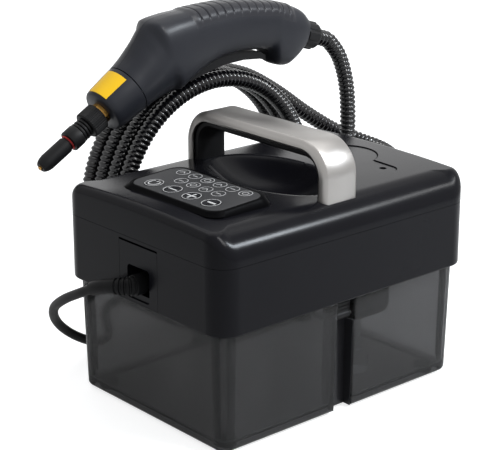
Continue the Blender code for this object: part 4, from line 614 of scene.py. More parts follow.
def mains_cord():
    relief = relief_path()
    radii = []
    for k in range(len(relief)):
        share = max(k - 2, 0) / (len(relief) - 3)
        rib = 0.85 if 4 < k < 40 and (k - 5) % 7 < 3 else 1.0
        radii.append((RELIEF_BASE + (RELIEF_TIP - RELIEF_BASE) * min(share * 1.5, 1.0)) * rib)
    relief_piece = piece("strain_relief_ribbed", tube(relief, radii, 24), "rubber_black", "strain_relief", sharp=45.0)
    outward = Vector((1.0, 0.0, 0.0))
    coil = [coil_point(k / 48) for k in range(2 * COIL_LOOPS * 48 + 1)]
    lead_in = coil[0] + outward * 2 * CORD_RADIUS
    lead_out = coil[-1] - outward * (PLUG_LEAD + 0.001)
    run = [*CORD_ROUTE, lead_in + outward * 4 * CORD_RADIUS, lead_in]
    path = relief[:-1] + smooth_path(run, 8) + coil + [lead_out]
    cord = piece("cord_flex", tube(path, [CORD_RADIUS] * len(path), 18), "rubber_black", "cord_run cord_coil",
        sharp=60.0)
    profile = [(0.0, 0.0), (CORD_RADIUS * 1.25, 0.0), (CORD_RADIUS * 1.4, PLUG_LENGTH * 0.04)]
    for k in range(5):
        low = PLUG_LENGTH * (0.06 + 0.055 * k)
        grow = CORD_RADIUS * (1.42 + 0.07 * k)
        profile += [(grow * waist, low + PLUG_LENGTH * on)
            for waist, on in ((1.0, 0.0), (1.0, 0.03), (0.86, 0.035), (0.86, 0.05))]
    profile.append((CORD_RADIUS * 1.85, PLUG_LENGTH * 0.36))
    profile += [(PLUG_RADIUS * reach, PLUG_LENGTH * share) for reach, share in
        ((0.72, 0.46), (0.92, 0.56), (1.0, 0.64), (1.0, 0.96), (0.95, 1.0), (0.0, 1.0))]
    plug = piece("plug_moulded", moved(turned(profile, 40), lead_out, FROM_X), "rubber_black", "plug_body")
    path_length(path)


hose()
mains_cord()


def crown_height(x):
    height = CROWN - CROWN_DROP * (x / HALF_X) ** 2
    into = abs(x) - (HALF_X - SHOULDER)
    if into > 0:
        height -= SHOULDER - sqrt(max(SHOULDER ** 2 - into ** 2, 0.0))
    return height


def well_drop(x, y):
    """Depth of the finger well: a flat-bottomed bowl with a rolled lip."""
    out = sqrt((x / (WELL_HALF_X + 0.002)) ** 2 + (y / (WELL_HALF_Y + 0.002)) ** 2)
    return WELL_DEPTH * (1 - out ** 2.4) ** 1.15 if out < 1 else 0.0


def eased(share):
    share = min(max(share, 0.0), 1.0)
    return share * share * (3 - 2 * share)


COVER_STEPS = 16
COVER_SPLITS = (72, 108)
RIDGE = 0.0015


def cover_ring(inset, wall=0.0):
    """Outline of the cover at an inset; the roll of its rim goes from shoulder to end round each corner."""
    half_x, half_y, corner, shoulder, end, top = [
        size - wall for size in (HALF_X, HALF_Y, HEAD_CORNER, SHOULDER, END_RADIUS, CROWN)]
    radius = min(max(corner - inset, corner / 4), half_x - inset - 0.0001)
    ring = []
    for x, y in rounded_outline(half_x - inset, half_y - inset, radius, COVER_STEPS, *COVER_SPLITS):
        into_x = max(abs(x) - (half_x - inset - radius), 0.0)
        into_y = max(abs(y) - (half_y - inset - radius), 0.0)
        roll = end + (shoulder - end) * eased(1 - atan2(into_y, into_x) / (pi / 2))
        drop = roll - sqrt(max(roll ** 2 - max(roll - inset, 0.0) ** 2, 0.0))
        ring.append(Vector((x, y, top - CROWN_DROP * (x / half_x) ** 2 - drop - well_drop(x, y))))
    return ring


def lid_stations(grow):
    radius = LID_RADIUS + grow
    half = TONGUE_WIDTH / 2 + grow
    reach = TONGUE_REACH + grow
    begin = asin(half / radius)
    turns = [begin + (pi - begin) * (1 - (k + 0.5) / 48.5) for k in range(49)]
    stations = [(radius * cos(turn), radius * sin(turn)) for turn in turns]
    turns = [pi / 2 * (1 - k / 12.5) for k in range(13)]
    return stations + [(reach - half + half * cos(turn), half * sin(turn)) for turn in turns]


def lid_slab(grow, low, high=None):
    rings = []
    for x, half in lid_stations(grow):
        crown = crown_height(x)
        top = CROWN + PROUD if high is None else crown - high
        rings.append([Vector((x, LID_Y + y, z)) for y, z in
            ((-half, crown - low), (half, crown - low), (half, top), (-half, top))])
    return loft(rings)


def seat_height(x):
    outer = crown_height(HANDLE_HALF)
    inner = crown_height(HANDLE_HALF - HANDLE_DEPTH)
    return outer + (inner - outer) * (HANDLE_HALF - x) / HANDLE_DEPTH - HANDLE_SEAT


def panel_ring(grow, height, corner=PANEL_CORNER, place=(0.0, 0.0)):
    return level_ring(PANEL_WIDTH / 2 + grow, PANEL_LENGTH / 2 + grow, corner, height, place)


def top_cover():
    last = HALF_X - RIDGE
    outer_insets = [END_RADIUS * share for share in (0.0, 0.01, 0.04, 0.09, 0.16, 0.26, 0.38, 0.52, 0.68, 0.84, 1.0)]
    outer_insets += [END_RADIUS + (SHOULDER - END_RADIUS) * k / 10 for k in range(1, 11)]
    outer_insets += [SHOULDER + (last - SHOULDER) * k / 48 for k in range(1, 49)]
    last = HALF_X - HEAD_WALL - RIDGE
    inner_insets = [END_RADIUS * share for share in (0.0, 0.2, 0.5, 1.0)]
    inner_insets += [END_RADIUS + (last - END_RADIUS) * k / 24 for k in range(1, 25)]
    inner = [cover_ring(inset, HEAD_WALL) for inset in inner_insets]
    outer = [cover_ring(inset) for inset in outer_insets]
    rims = [[Vector((p.x, p.y, SEAM + GAP)) for p in rings[0]] for rings in (inner, outer)]
    cover = loft(inner[::-1] + rims + outer, fold=COVER_STEPS + COVER_SPLITS[0] // 2)

    window = loft([panel_ring(BEZEL_RIM + BEZEL_FLARE / 2 + GAP, z, place=(PANEL_X, PANEL_Y))
        for z in (CROWN - HEAD_WALL - BEZEL_PLUG, CROWN + PROUD)])
    sink = LID_SINK + LID_THICKNESS + GAP
    wall = lid_slab(GAP + HEAD_WALL, sink + HEAD_WALL, 0.7 * HEAD_WALL)
    hole = moved(rod(NECK_BORE + NECK_WALL + GAP, 0.016), (0.0, LID_Y, CROWN - 0.014))
    steps = [(CUT, window), (JOIN, wall), (CUT, lid_slab(GAP, sink)), (CUT, hole)]
    half_w = HANDLE_WIDTH / 2
    bevel, shell = HANDLE_BEVEL, HANDLE_SHELL
    flank = half_w - bevel * 0.8
    deep = shell + HANDLE_LINING + GAP
    outline = mirrored([(-GAP, half_w - bevel), (bevel * 0.12 - GAP, half_w - bevel * 0.75),
        (bevel * 0.6 - GAP, half_w - bevel * 0.25 + GAP), (shell, half_w - bevel * 0.08 + GAP),
        (shell + bevel * 0.5, half_w + GAP), (shell + bevel, half_w), (shell + bevel, flank),
        (deep + bevel * 0.35, flank), (deep + bevel * 0.75 + GAP, flank - bevel * 0.5),
        (deep + bevel + GAP, flank - bevel * 1.5)])
    for side in (-1, 1):
        low = [Vector((side * (HANDLE_HALF - depth), y, seat_height(HANDLE_HALF - depth) - GAP))
            for depth, y in outline]
        steps.append((CUT, loft([low, [Vector((p.x, p.y, CROWN + PROUD)) for p in low]])))
    piece("cover_shell", carved(cover, steps), "housing_black", "top_cover", sharp=32.0)


def filler_lid():
    top = CROWN - LID_SINK
    high = LID_PLUG + LID_THICKNESS / 2
    plug = turned([(0.0, 0.0), (NECK_BORE - 4 * GAP, 0.0), (NECK_BORE - 2 * GAP, 2 * GAP),
        (NECK_BORE - 2 * GAP, high), (0.0, high)])
    dot = moved(rod(LID_HOLE, 4 * LID_THICKNESS), (TONGUE_REACH - LID_HOLE_INSET, LID_Y, top - 2 * LID_THICKNESS))
    steps = [(JOIN, moved(plug, (0.0, LID_Y, top - LID_THICKNESS - LID_PLUG))), (CUT, dot)]
    slab = lid_slab(-3 * GAP, LID_SINK + LID_THICKNESS, LID_SINK)
    piece("lid_cap", carved(slab, steps, 0.0003), "housing_black", "filler_lid", "lid_body", flat=True)


def housing_body():
    edge = 0.002

    def ring(inset, height):
        return level_ring(HALF_X - inset, HALF_Y - inset, HEAD_CORNER - inset, height)

    rings = rolled(ring, 0.0, edge, HEAD_BOTTOM, (90, 67, 45, 22, 0))
    rings += [ring(0.0, SEAM), ring(HEAD_WALL, SEAM), ring(HEAD_WALL, HEAD_BOTTOM)]
    hatch_z = HEAD_BOTTOM + edge + GAP + HATCH_LENGTH / 2
    opening = block((HATCH_WIDTH + 2 * GAP, 4 * HEAD_WALL, HATCH_LENGTH + GAP + HATCH_SLOT),
        (0.0, -HALF_Y, hatch_z + (HATCH_SLOT - GAP) / 2))
    hole = moved(rod(FITTING_RADIUS + GAP, 4 * HEAD_WALL), (FITTING_X, HALF_Y - 2 * HEAD_WALL, FITTING_Z), TO_Y)
    mesh = carved(loft(rings, closed=True), [(CUT, opening), (CUT, hole)])
    piece("body_band", mesh, "housing_black", "housing_body", flat=True)
    plate = block((HATCH_WIDTH, HEAD_WALL, HATCH_LENGTH), (0.0, -HALF_Y + HEAD_WALL / 2, hatch_z))
    low, high = CORD_BOX_LOW, CORD_PORT_TOP + HEAD_WALL
    depth = CORD_PORT_DEPTH
    box = block((CORD_PORT_WIDTH + 2 * HEAD_WALL, depth + HEAD_WALL, high - low),
        (0.0, -HALF_Y + HEAD_WALL / 2 + (depth + HEAD_WALL) / 2, (high + low) / 2))
    steps = [(JOIN, box)]
    for bottom, reach in ((low + HEAD_WALL, depth), (CORD_PORT_LOW, HEAD_WALL / 2)):
        middle = (CORD_PORT_TOP + bottom) / 2
        outline = rounded_outline(CORD_PORT_WIDTH / 2, (CORD_PORT_TOP - bottom) / 2, 0.0035)
        steps.append((CUT, loft([[Vector((x, y, middle + z)) for x, z in outline]
            for y in (-HALF_Y - reach, -HALF_Y + reach)])))
    steps.append((CUT, moved(rod(RELIEF_BASE + GAP, 4 * depth), (0.0, -HALF_Y - 2 * depth, CORD_Z), TO_Y)))
    piece("hatch_cover", carved(plate, steps, 0.0005), "housing_black", "cord_hatch", flat=True)


SKIRT_GAP = 0.0018
SKIRT_RADIUS = 0.0045
# Sizes of the dark ribs that paint shade into the tub's corners.
RIB_RUN = 0.003
RIB_THICKNESS = 0.0017
# Thickness and inset of the dark sheets that paint shade into the latch grooves.
SHADE_SHEET = 0.0009
SHADE_SHEET_INSET = 0.0016


def taper(height):
    return TUB_TAPER * (TUB_RIM - height) / TUB_HEIGHT


def corner_shade_ribs():
    """Painted shade: dark ribs on both sides of each corner inside the tub, standing in for the dark bands of the
    rounded corner.
    """
    ribs = []
    for side_x, side_y, start in CORNERS:
        center = (side_x * (TUB_HALF_X - TUB_CORNER), side_y * (TUB_HALF_Y - TUB_CORNER))
        for low, high, flat in ((0, 27, 0), (60, 90, 90)):
            turn = radians(start + flat)
            onward = Vector((-sin(turn), cos(turn), 0.0)) * (RIB_RUN if flat else -RIB_RUN)
            rings = []
            for height in (FOOT_HEIGHT + TUB_WALL + TUB_BOTTOM_RADIUS / 2 + GAP, TUB_RIM - 4 * GAP):
                rows = []
                for inward in (GAP, RIB_THICKNESS):
                    reach = TUB_CORNER - taper(height) - TUB_WALL - inward
                    row = [Vector((x, y, height)) for x, y in arc(center, reach, start + low, start + high, 6)]
                    rows.append(row + [row[-1] + onward] if flat else [row[0] + onward] + row)
                rings.append(rows[0] + rows[1][::-1])
            ribs.append(loft(rings))
    # The ribs' black paint is painted shade in the corners.
    piece("tub_corner_shade_ribs", joined(ribs), "matt_black", body="tub_body")


def groove_shade_sheets():
    """Painted shade: a dark sheet on the back and sides of each latch groove, below the latch, where the groove lies
    in shade.
    """
    half = GROOVE_WIDTH / 2 - GAP
    back = TUB_HALF_X - GROOVE_DEPTH + GAP
    for side, mark in SIDES:
        rings = []
        for height in (SKIRT_GAP + 0.0007, LATCH_Z - 2 * LATCH_BARREL):
            front = TUB_HALF_X - taper(height) - SHADE_SHEET_INSET
            outline = mirrored([(back, -half), (front, -half), (front, SHADE_SHEET - half), (back + SHADE_SHEET, SHADE_SHEET - half)])
            rings.append([Vector((side * x, y, height)) for x, y in outline])
        # The sheet's dark paint is painted shade of the groove, not a colour of the tub.
        piece("groove_shade_sheet_" + mark, loft(rings), "key_dark", body="tub_body", slot="matt_black")


def tub():
    def ring(inset, height):
        inset += taper(height)
        return level_ring(TUB_HALF_X - inset, TUB_HALF_Y - inset, TUB_CORNER - inset, height)

    turns = (90, 72, 54, 36, 18, 0)
    body = loft(rolled(ring, 0.0, SKIRT_RADIUS, SKIRT_GAP, turns) + [ring(0.0, TUB_RIM)])
    cavity = loft(rolled(ring, TUB_WALL, TUB_BOTTOM_RADIUS / 2, FOOT_HEIGHT + TUB_WALL, turns)
        + [ring(TUB_WALL, TUB_RIM + PROUD)])
    recess = loft([ring(SKIRT_RADIUS + TUB_WALL, height) for height in (-SKIRT_GAP, FOOT_HEIGHT)])
    walls, slots = [], []
    for x in (-TUB_HALF_X, TUB_HALF_X):
        around = block((2 * (GROOVE_DEPTH + TUB_WALL), GROOVE_WIDTH + 2 * TUB_WALL, 2 * TUB_RIM), (x, 0.0, 0.0))
        walls.append((CUT, around))
        slots.append((CUT, block((2 * GROOVE_DEPTH, GROOVE_WIDTH, 1.2 * TUB_RIM), (x, 0.0, TUB_RIM / 2))))
    mesh = carved(body, slots + [(CUT, carved(cavity, walls)), (CUT, recess)], 0.0007, 3)
    piece("tub_smoked", mesh, "smoked_tub", "tub", "tub_body", flat=True)


def latches():
    for side, mark in SIDES:
        x = side * LATCH_X
        plate = block((LATCH_THICKNESS, LATCH_WIDTH, LATCH_REACH), (x, 0.0, LATCH_Z + LATCH_REACH / 2))
        steps = [(JOIN, moved(rod(LATCH_BARREL, LATCH_WIDTH), (x, -LATCH_WIDTH / 2, LATCH_Z), TO_Y))]
        for k in range(3):
            height = LATCH_Z + LATCH_REACH * (0.35 + 0.22 * k)
            steps.append((CUT, block((0.0014, 0.8 * LATCH_WIDTH, 0.0012),
                (side * (LATCH_X + LATCH_THICKNESS / 2), 0.0, height))))
        steps.append((CUT, moved(rod(LATCH_PIN + GAP, 2 * LATCH_WIDTH), (x, -LATCH_WIDTH, LATCH_Z), TO_Y)))
        piece("latch_clip_" + mark, carved(plate, steps, 0.0004), "matt_black", "latch_" + mark,
            "latch_%s_body" % mark, flat=True)


def strap(half):
    """Bent bar of the handle; HALF of its section is given as (depth, y) and mirrored."""
    flipped = [(depth, -y) for depth, y in half]
    lines = []
    for depth, y in flipped[:1] + half + flipped[:0:-1]:
        reach, top = HANDLE_HALF - depth, CROWN + HANDLE_RISE - depth
        corner = max(HANDLE_CORNER - depth, HANDLE_SHELL)
        path = [(-reach, seat_height(reach))]
        path += arc((-reach + corner, top - corner), corner, 180, 90, 20)
        path += arc((reach - corner, top - corner), corner, 90, 0, 20)
        lines.append([Vector((x, y, z)) for x, z in path + [(reach, seat_height(reach))]])
    return loft([list(ring) for ring in zip(*lines)])


def handle():
    half_w = HANDLE_WIDTH / 2
    bevel, shell = HANDLE_BEVEL, HANDLE_SHELL
    half = [(base + bevel * depth, half_w - bevel * inward) for base, depth, inward in (
        (0.0, 0.0, 1.0), (0.0, 0.12, 0.75), (0.0, 0.6, 0.25), (shell, 0.0, 0.08), (shell, 0.5, 0.0),
        (shell, 0.85, 0.12), (shell, 1.0, 0.4), (shell, 0.0, 1.0))]
    piece("handle_strap", strap(half), "satin_silver", "handle_shell", sharp=28.0)
    inner = shell + GAP
    flank = half_w - bevel * 0.8 - GAP
    deep = inner + HANDLE_LINING
    half = [(inner, flank - bevel), (inner + bevel + GAP, flank), (deep + bevel * 0.35, flank - bevel * 0.08),
        (deep + bevel * 0.75, flank - bevel * 0.5), (deep + bevel, flank - bevel * 1.5)]
    piece("handle_grip", strap(half), "matt_black", "handle_lining", sharp=40.0)


PAD = Matrix.Translation((PANEL_X, PANEL_Y, CROWN + BEZEL_RISE)) @ Matrix.Rotation(PANEL_TILT, 4, "X")


def ribbon(points, width, closed=False):
    """Corners of the quads of a flat strip of WIDTH along points in the panel's plane."""
    around = points[-1:] + points + points[:1] if closed else points[:1] + points + points[-1:]
    rows = []
    for a, (x, y), b in zip(around, points, around[2:]):
        dx, dy = b[0] - a[0], b[1] - a[1]
        size = sqrt(dx * dx + dy * dy)
        nx, ny = -dy / size * width / 2, dx / size * width / 2
        rows.append(((x + nx, y + ny), (x - nx, y - ny)))
    rows.append(rows[0])
    return [(*a, *reversed(b)) for a, b in zip(rows, rows[1:] if closed else rows[1:-1])]


def mark_mesh(strips, height):
    """Printed marks: thin raised strips on the panel, in its plane."""
    mesh = joined([loft([[(x, y, z) for x, y in quad] for z in (height - PRINT, height + PRINT)])
        for strip in strips for quad in strip])
    mesh.transform(PAD)
    return mesh


def ring_strip(center, radius, width, start=0.0, end=360.0, steps=40):
    points = arc(center, radius, start, end, steps)
    whole = end - start >= 360.0
    return ribbon(points[:-1] if whole else points, width, whole)


def stroke(x, y, ends, width):
    """Straight strips between ends given from (X, Y)."""
    return ribbon([(x + along, y + up) for along, up in ends], width)


def key_marks(name, x, y):
    """Ring and sign of a key, centred on (X, Y)."""
    shapes = [ring_strip((x, y), KEY_RADIUS - 0.0007, 0.0005, steps=56)]
    if name == "power":
        shapes.append(ring_strip((x, y), 0.005, 0.0009, 125.0, 415.0))
        shapes.append(stroke(x, y, ((0, 0.0025), (0, 0.0062)), 0.0009))
    if name in ("minus", "plus"):
        shapes.append(stroke(x, y, ((-0.0053, 0), (0.0053, 0)), 0.0014))
    if name == "plus":
        for low, high in ((-0.005, -0.00071), (0.00071, 0.005)):
            shapes.append(stroke(x, y, ((0, low), (0, high)), 0.0014))
    if name == "start":
        shapes.append(stroke(x, y, ((-0.004, 0), (0.0052, 0)), 0.0022))
    return shapes


def keypad():
    def tilted(grow, drop, corner=PANEL_CORNER):
        """Outline of the bezel's rim on its tilted face, lowered by DROP."""
        return [Vector((p.x, p.y, CROWN + BEZEL_RISE + (p.y - PANEL_Y) * tan(PANEL_TILT) - drop))
            for p in panel_ring(BEZEL_RIM + grow, 0.0, corner, (PANEL_X, PANEL_Y))]

    edge = 0.0008
    rings = [panel_ring(BEZEL_RIM + BEZEL_FLARE / 2, z, place=(PANEL_X, PANEL_Y))
        for z in (CROWN - HEAD_WALL - BEZEL_PLUG / 2, CROWN - GAP)]
    rings += [tilted(0.0004, edge), tilted(0.0, edge * 0.3), tilted(-0.0005, 0.0, PANEL_CORNER - 0.0005)]
    hollow = loft([panel_ring(-BEZEL_RIM, z, PANEL_CORNER - BEZEL_RIM) for z in (-4 * BEZEL_PLUG, PROUD)])
    seat = loft([panel_ring(GAP, z) for z in (-PANEL_THICKNESS - GAP, PROUD)])
    hollow.transform(PAD)
    seat.transform(PAD)
    piece("bezel_frame", carved(loft(rings), [(CUT, hollow), (CUT, seat)]), "bezel_black", "keypad_bezel",
        slot="matt_black")
    edge = 0.0003
    panel = loft([panel_ring(0.0, -PANEL_THICKNESS), panel_ring(0.0, -edge),
        panel_ring(-edge, 0.0, PANEL_CORNER - edge)])
    steps, lenses, strips = [], [], []

    def hole(radius, sides, x, y):
        steps.append((CUT, moved(rod(radius + GAP, 4 * PANEL_THICKNESS, sides), (x, y, -2 * PANEL_THICKNESS))))

    skirt = -PANEL_THICKNESS - 2 * GAP - KEY_PROUD
    radius, wide = KEY_RADIUS, KEY_RADIUS + 2 * GAP
    profile = [(0.0, -KEY_HEIGHT), (wide, -KEY_HEIGHT), (wide, skirt), (radius, skirt), (radius, -0.0005),
        (radius - 0.0002, -0.0001), (radius - 0.0006, 0.0), (radius * 0.7, -0.0001), (radius * 0.4, -0.00025),
        (0.0, -0.0003)]
    for k, name in enumerate(("power", "minus", "plus", "start")):
        x = (k - 1.5) * KEY_PITCH
        hole(KEY_RADIUS, 48, x, KEY_ROW)
        cap = moved(turned(profile, 56), (x, KEY_ROW, KEY_PROUD))
        cap.transform(PAD)
        piece("key_cap_" + name, cap, "key_dark", "key_" + name, name + "_key")
        piece("key_mark_" + name, mark_mesh(key_marks(name, x, KEY_ROW), KEY_PROUD), "mark_grey", body=name + "_key",
            sharp=50.0)
    front = LENS_ROWS[0] - LENS_RADIUS - GAP
    rear = PANEL_LENGTH / 2 - BEZEL_RIM - 2 * GAP
    width = (LENS_COUNTS[1] - 1) * LENS_PITCH + 2 * (LENS_RADIUS + GAP)
    sheet = block((width, rear - front, LENS_SHEET),
        (0.0, (rear + front) / 2, -PANEL_THICKNESS - GAP - LENS_SHEET / 2))
    low = -PANEL_THICKNESS - LENS_SHEET / 2
    profile = [(0.0, low), (LENS_RADIUS, low), (LENS_RADIUS, -0.0003), (LENS_RADIUS - 0.0003, 0.0), (0.0, 0.0)]
    for y, count in zip(LENS_ROWS, LENS_COUNTS):
        for k in range(count):
            x = (k - (count - 1) / 2) * LENS_PITCH
            lenses.append((JOIN, moved(turned(profile, 32), (x, y, 0.0))))
            hole(LENS_RADIUS, 32, x, y)
            strips.append(ring_strip((x, y), LENS_RADIUS + 0.0006, 0.00042))
            glyph = (k + (0 if count == LENS_COUNTS[0] else 2)) % 3
            if glyph == 0:
                strips.append(stroke(x, y, ((-0.0029, 0), (0.0029, 0)), 0.0007))
            elif glyph == 1:
                strips.append(ring_strip((x, y), 0.0027, 0.0005, steps=20))
            else:
                strips.append(stroke(x, y, ((-0.0028, -0.0016), (0, 0.0018), (0.0028, -0.0016)), 0.0007))
    for name, mesh, parts, node in (("panel_sheet", panel, steps, "keypad_panel"),
            ("lamp_sheet", sheet, lenses, "indicator_lenses")):
        mesh = carved(mesh, parts)
        mesh.transform(PAD)
        piece(name, mesh, "panel_grey", node)
    piece("panel_marks", mark_mesh(strips, 0.00012), "mark_grey", sharp=50.0)


GUN_STEPS = 6
ARC_STEPS = 26
HUMP = 3.0
PAD_STEPS = 16
PAD_ARC = 28


def gun_sections():
    """The gun's stations, smoothed along its length, each with its number."""
    columns = zip(*[gun_station(k) + [k] for k in range(len(GUN_SHARES))])
    return [list(section) for section in zip(*[smooth(column, GUN_STEPS) for column in columns])]


def gun_form(number):
    """Power of the section: 1 is an ellipse, less is boxier, more is pinched."""
    boxy = eased((number - HUMP + 0.3) / 0.5)
    pinched = eased((number - 0.8) / 1.4) * (1 - boxy)
    return 1.0 - 0.4 * boxy + 0.16 * pinched


def gun_surface(section, side, turn, grow=0.0):
    y, z, lean, height, width, number = section
    form = gun_form(number)
    lean = radians(lean)
    up = Vector((0.0, -sin(lean), cos(lean)))
    across, rise = abs(cos(turn)) ** form, abs(sin(turn)) ** (0.5 + form / 2)
    if turn < 0:
        rise = -rise
    offset = Vector((side * (GAP / 2 + (width + grow - GAP / 2) * across), 0.0, 0.0))
    return gun_point(y, z) + up * (height + grow) * rise + offset


def gun_ring(section, side):
    turns = [pi * (k / ARC_STEPS - 0.5) for k in range(ARC_STEPS + 1)]
    inner = [gun_surface(section[:5] + [0.0], side, turn, -GUN_WALL) for turn in turns]
    return [gun_surface(section, side, turn) for turn in turns] + inner[::-1]


def grip_pad():
    """Ribbed back of the grip: a thin skin with narrow grooves that fade out on its sides."""
    sections = gun_sections()[PAD_FIRST * GUN_STEPS:PAD_LAST * GUN_STEPS + 1]
    spans = [sqrt((b[0] - a[0]) ** 2 + (b[1] - a[1]) ** 2) for a, b in zip(sections, sections[1:])]
    turns = [radians(PAD_EDGE + (180 - 2 * PAD_EDGE) * i / PAD_ARC) for i in range(PAD_ARC + 1)]
    steps = PAD_RIBS * PAD_STEPS
    rings = []
    for k, (low, share) in enumerate(walked(spans, steps)):
        section = [a + (b - a) * share for a, b in zip(sections[low], sections[low + 1])]
        half = PAD_STEPS // 2
        groove = max(0.0, 1.0 - abs((k + half) % PAD_STEPS - half) / 2.2) if 6 < k < steps - 6 else 0.0
        end = eased(min(k, steps - k) / 10)
        top, bottom = [], []
        for i, turn in enumerate(turns):
            near = min(i, PAD_ARC - i)
            lift = 0.00005 + PAD_THICKNESS * (1.0 - 0.9 * groove * eased((near - 1.5) / 2)) * eased(near / 4) * end
            side = 1 if turn < pi / 2 else -1
            top.append(gun_surface(section, side, turn, lift))
            bottom.append(gun_surface(section, side, turn))
        rings.append(top + bottom[::-1])
    piece("grip_ribs", loft(rings), "pad_grey", "gun_grip_pad", "gun_body", "matt_black", 50.0)


def gun():
    sections = gun_sections()
    slot_size = (TRIGGER_WIDTH + 2 * TRIGGER_SIDE_GAP, SLOT_REAR + SLOT_FRONT, 4 * SLOT_RISE)
    slot_place = gun_point(TRIGGER_Y + (SLOT_REAR - SLOT_FRONT) / 2, TRIGGER_Z - SLOT_RISE)
    for side, mark in SIDES:
        mesh = carved(loft([gun_ring(section, side) for section in sections]), [(CUT, block(slot_size, slot_place))])
        piece("grip_shell_" + mark, mesh, "gun_grey", "gun_shell_" + mark, "gun_body", "matt_black", 50.0)
    grip_pad()
    axis = Vector((0.0, -cos(GUN_PITCH), -sin(GUN_PITCH)))
    seam = gun_point(*gun_station(0)[:2])
    aim = facing(axis)

    def on_nozzle(name, mesh, node, paint="matt_black", sharp=38.0):
        piece(name, moved(mesh, seam, aim), paint, node, "gun_body", "matt_black", sharp)

    front = BARREL_LENGTH
    lip = BARREL_RADIUS - BARREL_FRONT
    bore, wide = BARREL_BORE, BARREL_RADIUS
    profile = [(bore, GAP), (wide - 0.0008, GAP), (wide, 0.0012), (wide - lip * 0.12, front * 0.3),
        (wide - lip * 0.45, front * 0.8), (wide - lip * 0.7, front - 0.002),
        (BARREL_FRONT + 0.0002, front - 0.0008), (BARREL_FRONT - 0.001, front), (bore, front)]
    on_nozzle("barrel_cover", turned(profile, 64), "gun_barrel", "gun_grey")
    across = Vector((1.0, 0.0, 0.0))
    upward = axis.cross(across)
    upward = upward if upward.z > 0 else -upward
    turns = [radians(LABEL_LOW + (LABEL_HIGH - LABEL_LOW) * i / 16) for i in range(17)]
    rows = []
    for k in range(13):
        height = LABEL_START + (LABEL_END - LABEL_START) * k / 12
        radius = BARREL_RADIUS - lip * (0.12 + 0.33 * (height / front - 0.3) / 0.5)
        rows.append([seam + axis * height + (across * cos(turn) + upward * sin(turn)) * (radius + grow)
            for grow, ends in ((0.00025, turns), (-0.0003, turns[::-1])) for turn in ends])
    piece("blank_label", loft(rows), "label_yellow", body="gun_body")
    nut_start = front + RING_LENGTH
    nut_end = nut_start + NUT_LENGTH
    knurls = [0.0005 if k % 4 in (2, 3) else 0.0 for k in range(144)]
    wide = NOZZLE_NUT
    rings = [round_ring([radius - knurl for knurl in knurls], height) for height, radius in (
        (nut_start, wide - 0.0012), (nut_start + 0.001, wide), (nut_end - 0.001, wide), (nut_end, wide - 0.0012))]
    rings += [round_ring([NOZZLE_BORE] * 144, height) for height in (nut_end, nut_start)]
    on_nozzle("nozzle_knurl", loft(rings, closed=True), "nozzle_nut", sharp=30.0)
    collar_start = nut_end + NECK_LENGTH
    collar_end = collar_start + COLLAR_LENGTH
    thin, thick = NOZZLE_NECK * 0.85, NOZZLE_NECK * 1.1
    profile = [(NOZZLE_BORE, nut_end + GAP), (thin, nut_end + GAP)]
    for k in range(3):
        low, high = [nut_end + GAP + (NECK_LENGTH - GAP) * (k + share) / 3 for share in (0.2, 0.8)]
        profile += [(thin, low), (thick - 0.0003, low), (thick, (low + high) / 2), (thick - 0.0003, high),
            (thin, high)]
    spigot, wide = NOZZLE_TIP * 0.8, NOZZLE_COLLAR
    profile += [(thin, collar_start), (wide - 0.001, collar_start), (wide - 0.0003, collar_start + 0.0003),
        (wide, collar_start + 0.001), (wide, collar_end - 0.001), (wide - 0.0003, collar_end - 0.0003),
        (wide - 0.001, collar_end), (spigot, collar_end), (spigot, collar_end + SPIGOT_LENGTH),
        (NOZZLE_BORE, collar_end + SPIGOT_LENGTH)]
    on_nozzle("nozzle_neck", turned(profile, 56), "nozzle_collar")
    tip_start = collar_end + SPIGOT_LENGTH + GAP
    tip_end = tip_start + TIP_LENGTH
    bore, wide = NOZZLE_BORE + GAP, NOZZLE_TIP
    profile = [(bore, tip_start), (wide - 0.0005, tip_start), (wide, tip_start + 0.0005), (wide, tip_end - TIP_TAPER),
        (wide * 0.93, tip_end - TIP_TAPER * 0.6), (wide * 0.8, tip_end - TIP_TAPER * 0.25),
        (wide * 0.66, tip_end - 0.0005), (wide * 0.6, tip_end), (bore, tip_end)]
    on_nozzle("nozzle_snout", turned(profile), "nozzle_tip")
    rear, rear_axis = gun_rear()
    length = HOSE_NUT_LENGTH
    lobes = [0.0011 * max(0.0, 1.0 - abs(k % 12 - 6) / 1.8) for k in range(96)]
    rings = [round_ring([HOSE_NUT_RADIUS * grow - (lobe if grow == 1.0 else 0.0) for lobe in lobes], height)
        for height, grow in ((GAP, 0.84), (length * 0.06, 0.92), (length * 0.1, 0.92), (length * 0.14, 1.0),
        (length * 0.8, 1.0), (length * 0.84, 0.92), (length * 0.93, 0.9), (length, 0.82))]
    rings += [round_ring([HOSE_RADIUS * 0.9] * 96, height) for height in (length, GAP)]
    sleeve = moved(loft(rings, closed=True), rear, facing(rear_axis))
    piece("hose_sleeve", sleeve, "matt_black", "gun_hose_nut", "gun_body")


top_cover()
filler_lid()
housing_body()
tub()
corner_shade_ribs()
groove_shade_sheets()
latches()
handle()
keypad()
gun()

for name, node in frame["nodes"].items():
    paint = PAINTS["clear_plastic" if name in ("suction_tube", "intake_filter") else SLOTS[name]]
    if node.material_slots:
        for part in node.material_slots:
            part.material = paint
    else:
        node.data.materials.append(paint)


def bare_tree(owner):
    owner.use_nodes = True
    owner.node_tree.nodes.clear()
    return owner.node_tree


def light(name, place, size, energy, color=(1.0, 1.0, 1.0)):
    data = bpy.data.lights.new(name, "AREA")
    data.shape = "RECTANGLE"
    data.size, data.size_y = size
    data.energy = energy
    data.color = color
    made = placed(name, data)
    made.location = place
    made.rotation_euler = (Vector(place) - Vector((0.0, 0.0, 0.1))).to_track_quat("Z", "Y").to_euler()


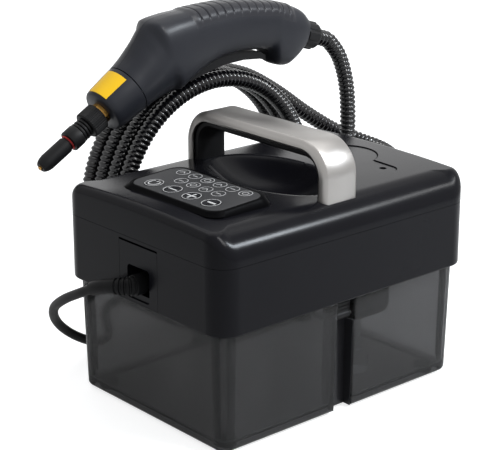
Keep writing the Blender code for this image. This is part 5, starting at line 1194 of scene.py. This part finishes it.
def backdrop_ray(tree, mirror=1.0, glass=1.0):
    """1 for camera rays, MIRROR for glossy ones and GLASS for those that come through glass."""
    path = add(tree, "LightPath", {}).outputs

    def math(operation, first, second):
        return add(tree, "Math", {0: first, 1: second}, operation=operation)

    through = math("MULTIPLY", path["Is Transmission Ray"], mirror - glass)
    bent = math("MAXIMUM", path["Is Glossy Ray"], path["Is Transmission Ray"])
    return math("MAXIMUM", path["Is Camera Ray"], math("MULTIPLY", bent, math("SUBTRACT", mirror, through)))


def studio():
    world = bpy.data.worlds.new("studio")
    bpy.context.scene.world = world
    tree = bare_tree(world)
    white = add(tree, "Background", {"Color": (1.0, 1.0, 1.0, 1.0)})
    grey = add(tree, "Background", {"Color": (0.95, 0.975, 1.0, 1.0), "Strength": 0.55})
    mix = add(tree, "MixShader", {0: backdrop_ray(tree), 1: grey, 2: white})
    add(tree, "OutputWorld", {"Surface": mix})

    bm = bmesh.new()
    bmesh.ops.create_grid(bm, x_segments=4, y_segments=4, size=4.0)
    floor = placed("floor", made_mesh(bm))
    floor.location.z = -0.0002
    paint = bpy.data.materials.new("floor_white")
    tree = bare_tree(paint)
    matt = add(tree, "BsdfDiffuse", {"Color": (0.62, 0.62, 0.62, 1.0)})
    strength = add(tree, "Math", {0: backdrop_ray(tree, 0.45, 0.26), 1: 0.76}, operation="MULTIPLY")
    glow = add(tree, "Emission", {"Strength": strength})
    add(tree, "OutputMaterial", {"Surface": add(tree, "AddShader", {0: matt, 1: glow})})
    floor.data.materials.append(paint)

    light("overhead", (-0.3, 0.3, 1.6), (1.6, 1.2), 7.0)
    light("glint", (1.01, 1.28, 1.17), (0.5, 0.2), 4.5)
    light("left_box", (-0.9, -1.3, 0.9), (0.9, 0.9), 0.4)
    light("right_box", (1.03, 0.9, 1.13), (0.22, 0.22), 16.5, color=(0.86, 0.93, 1.0))
    light("back_box", (-1.6, 1.4, 0.8), (2.2, 0.9), 3.3)
    light("front_top", (0.83, 0.22, 1.26), (0.25, 0.8), 11.0)


studio()
bpy.context.scene.view_settings.view_transform = "Standard"
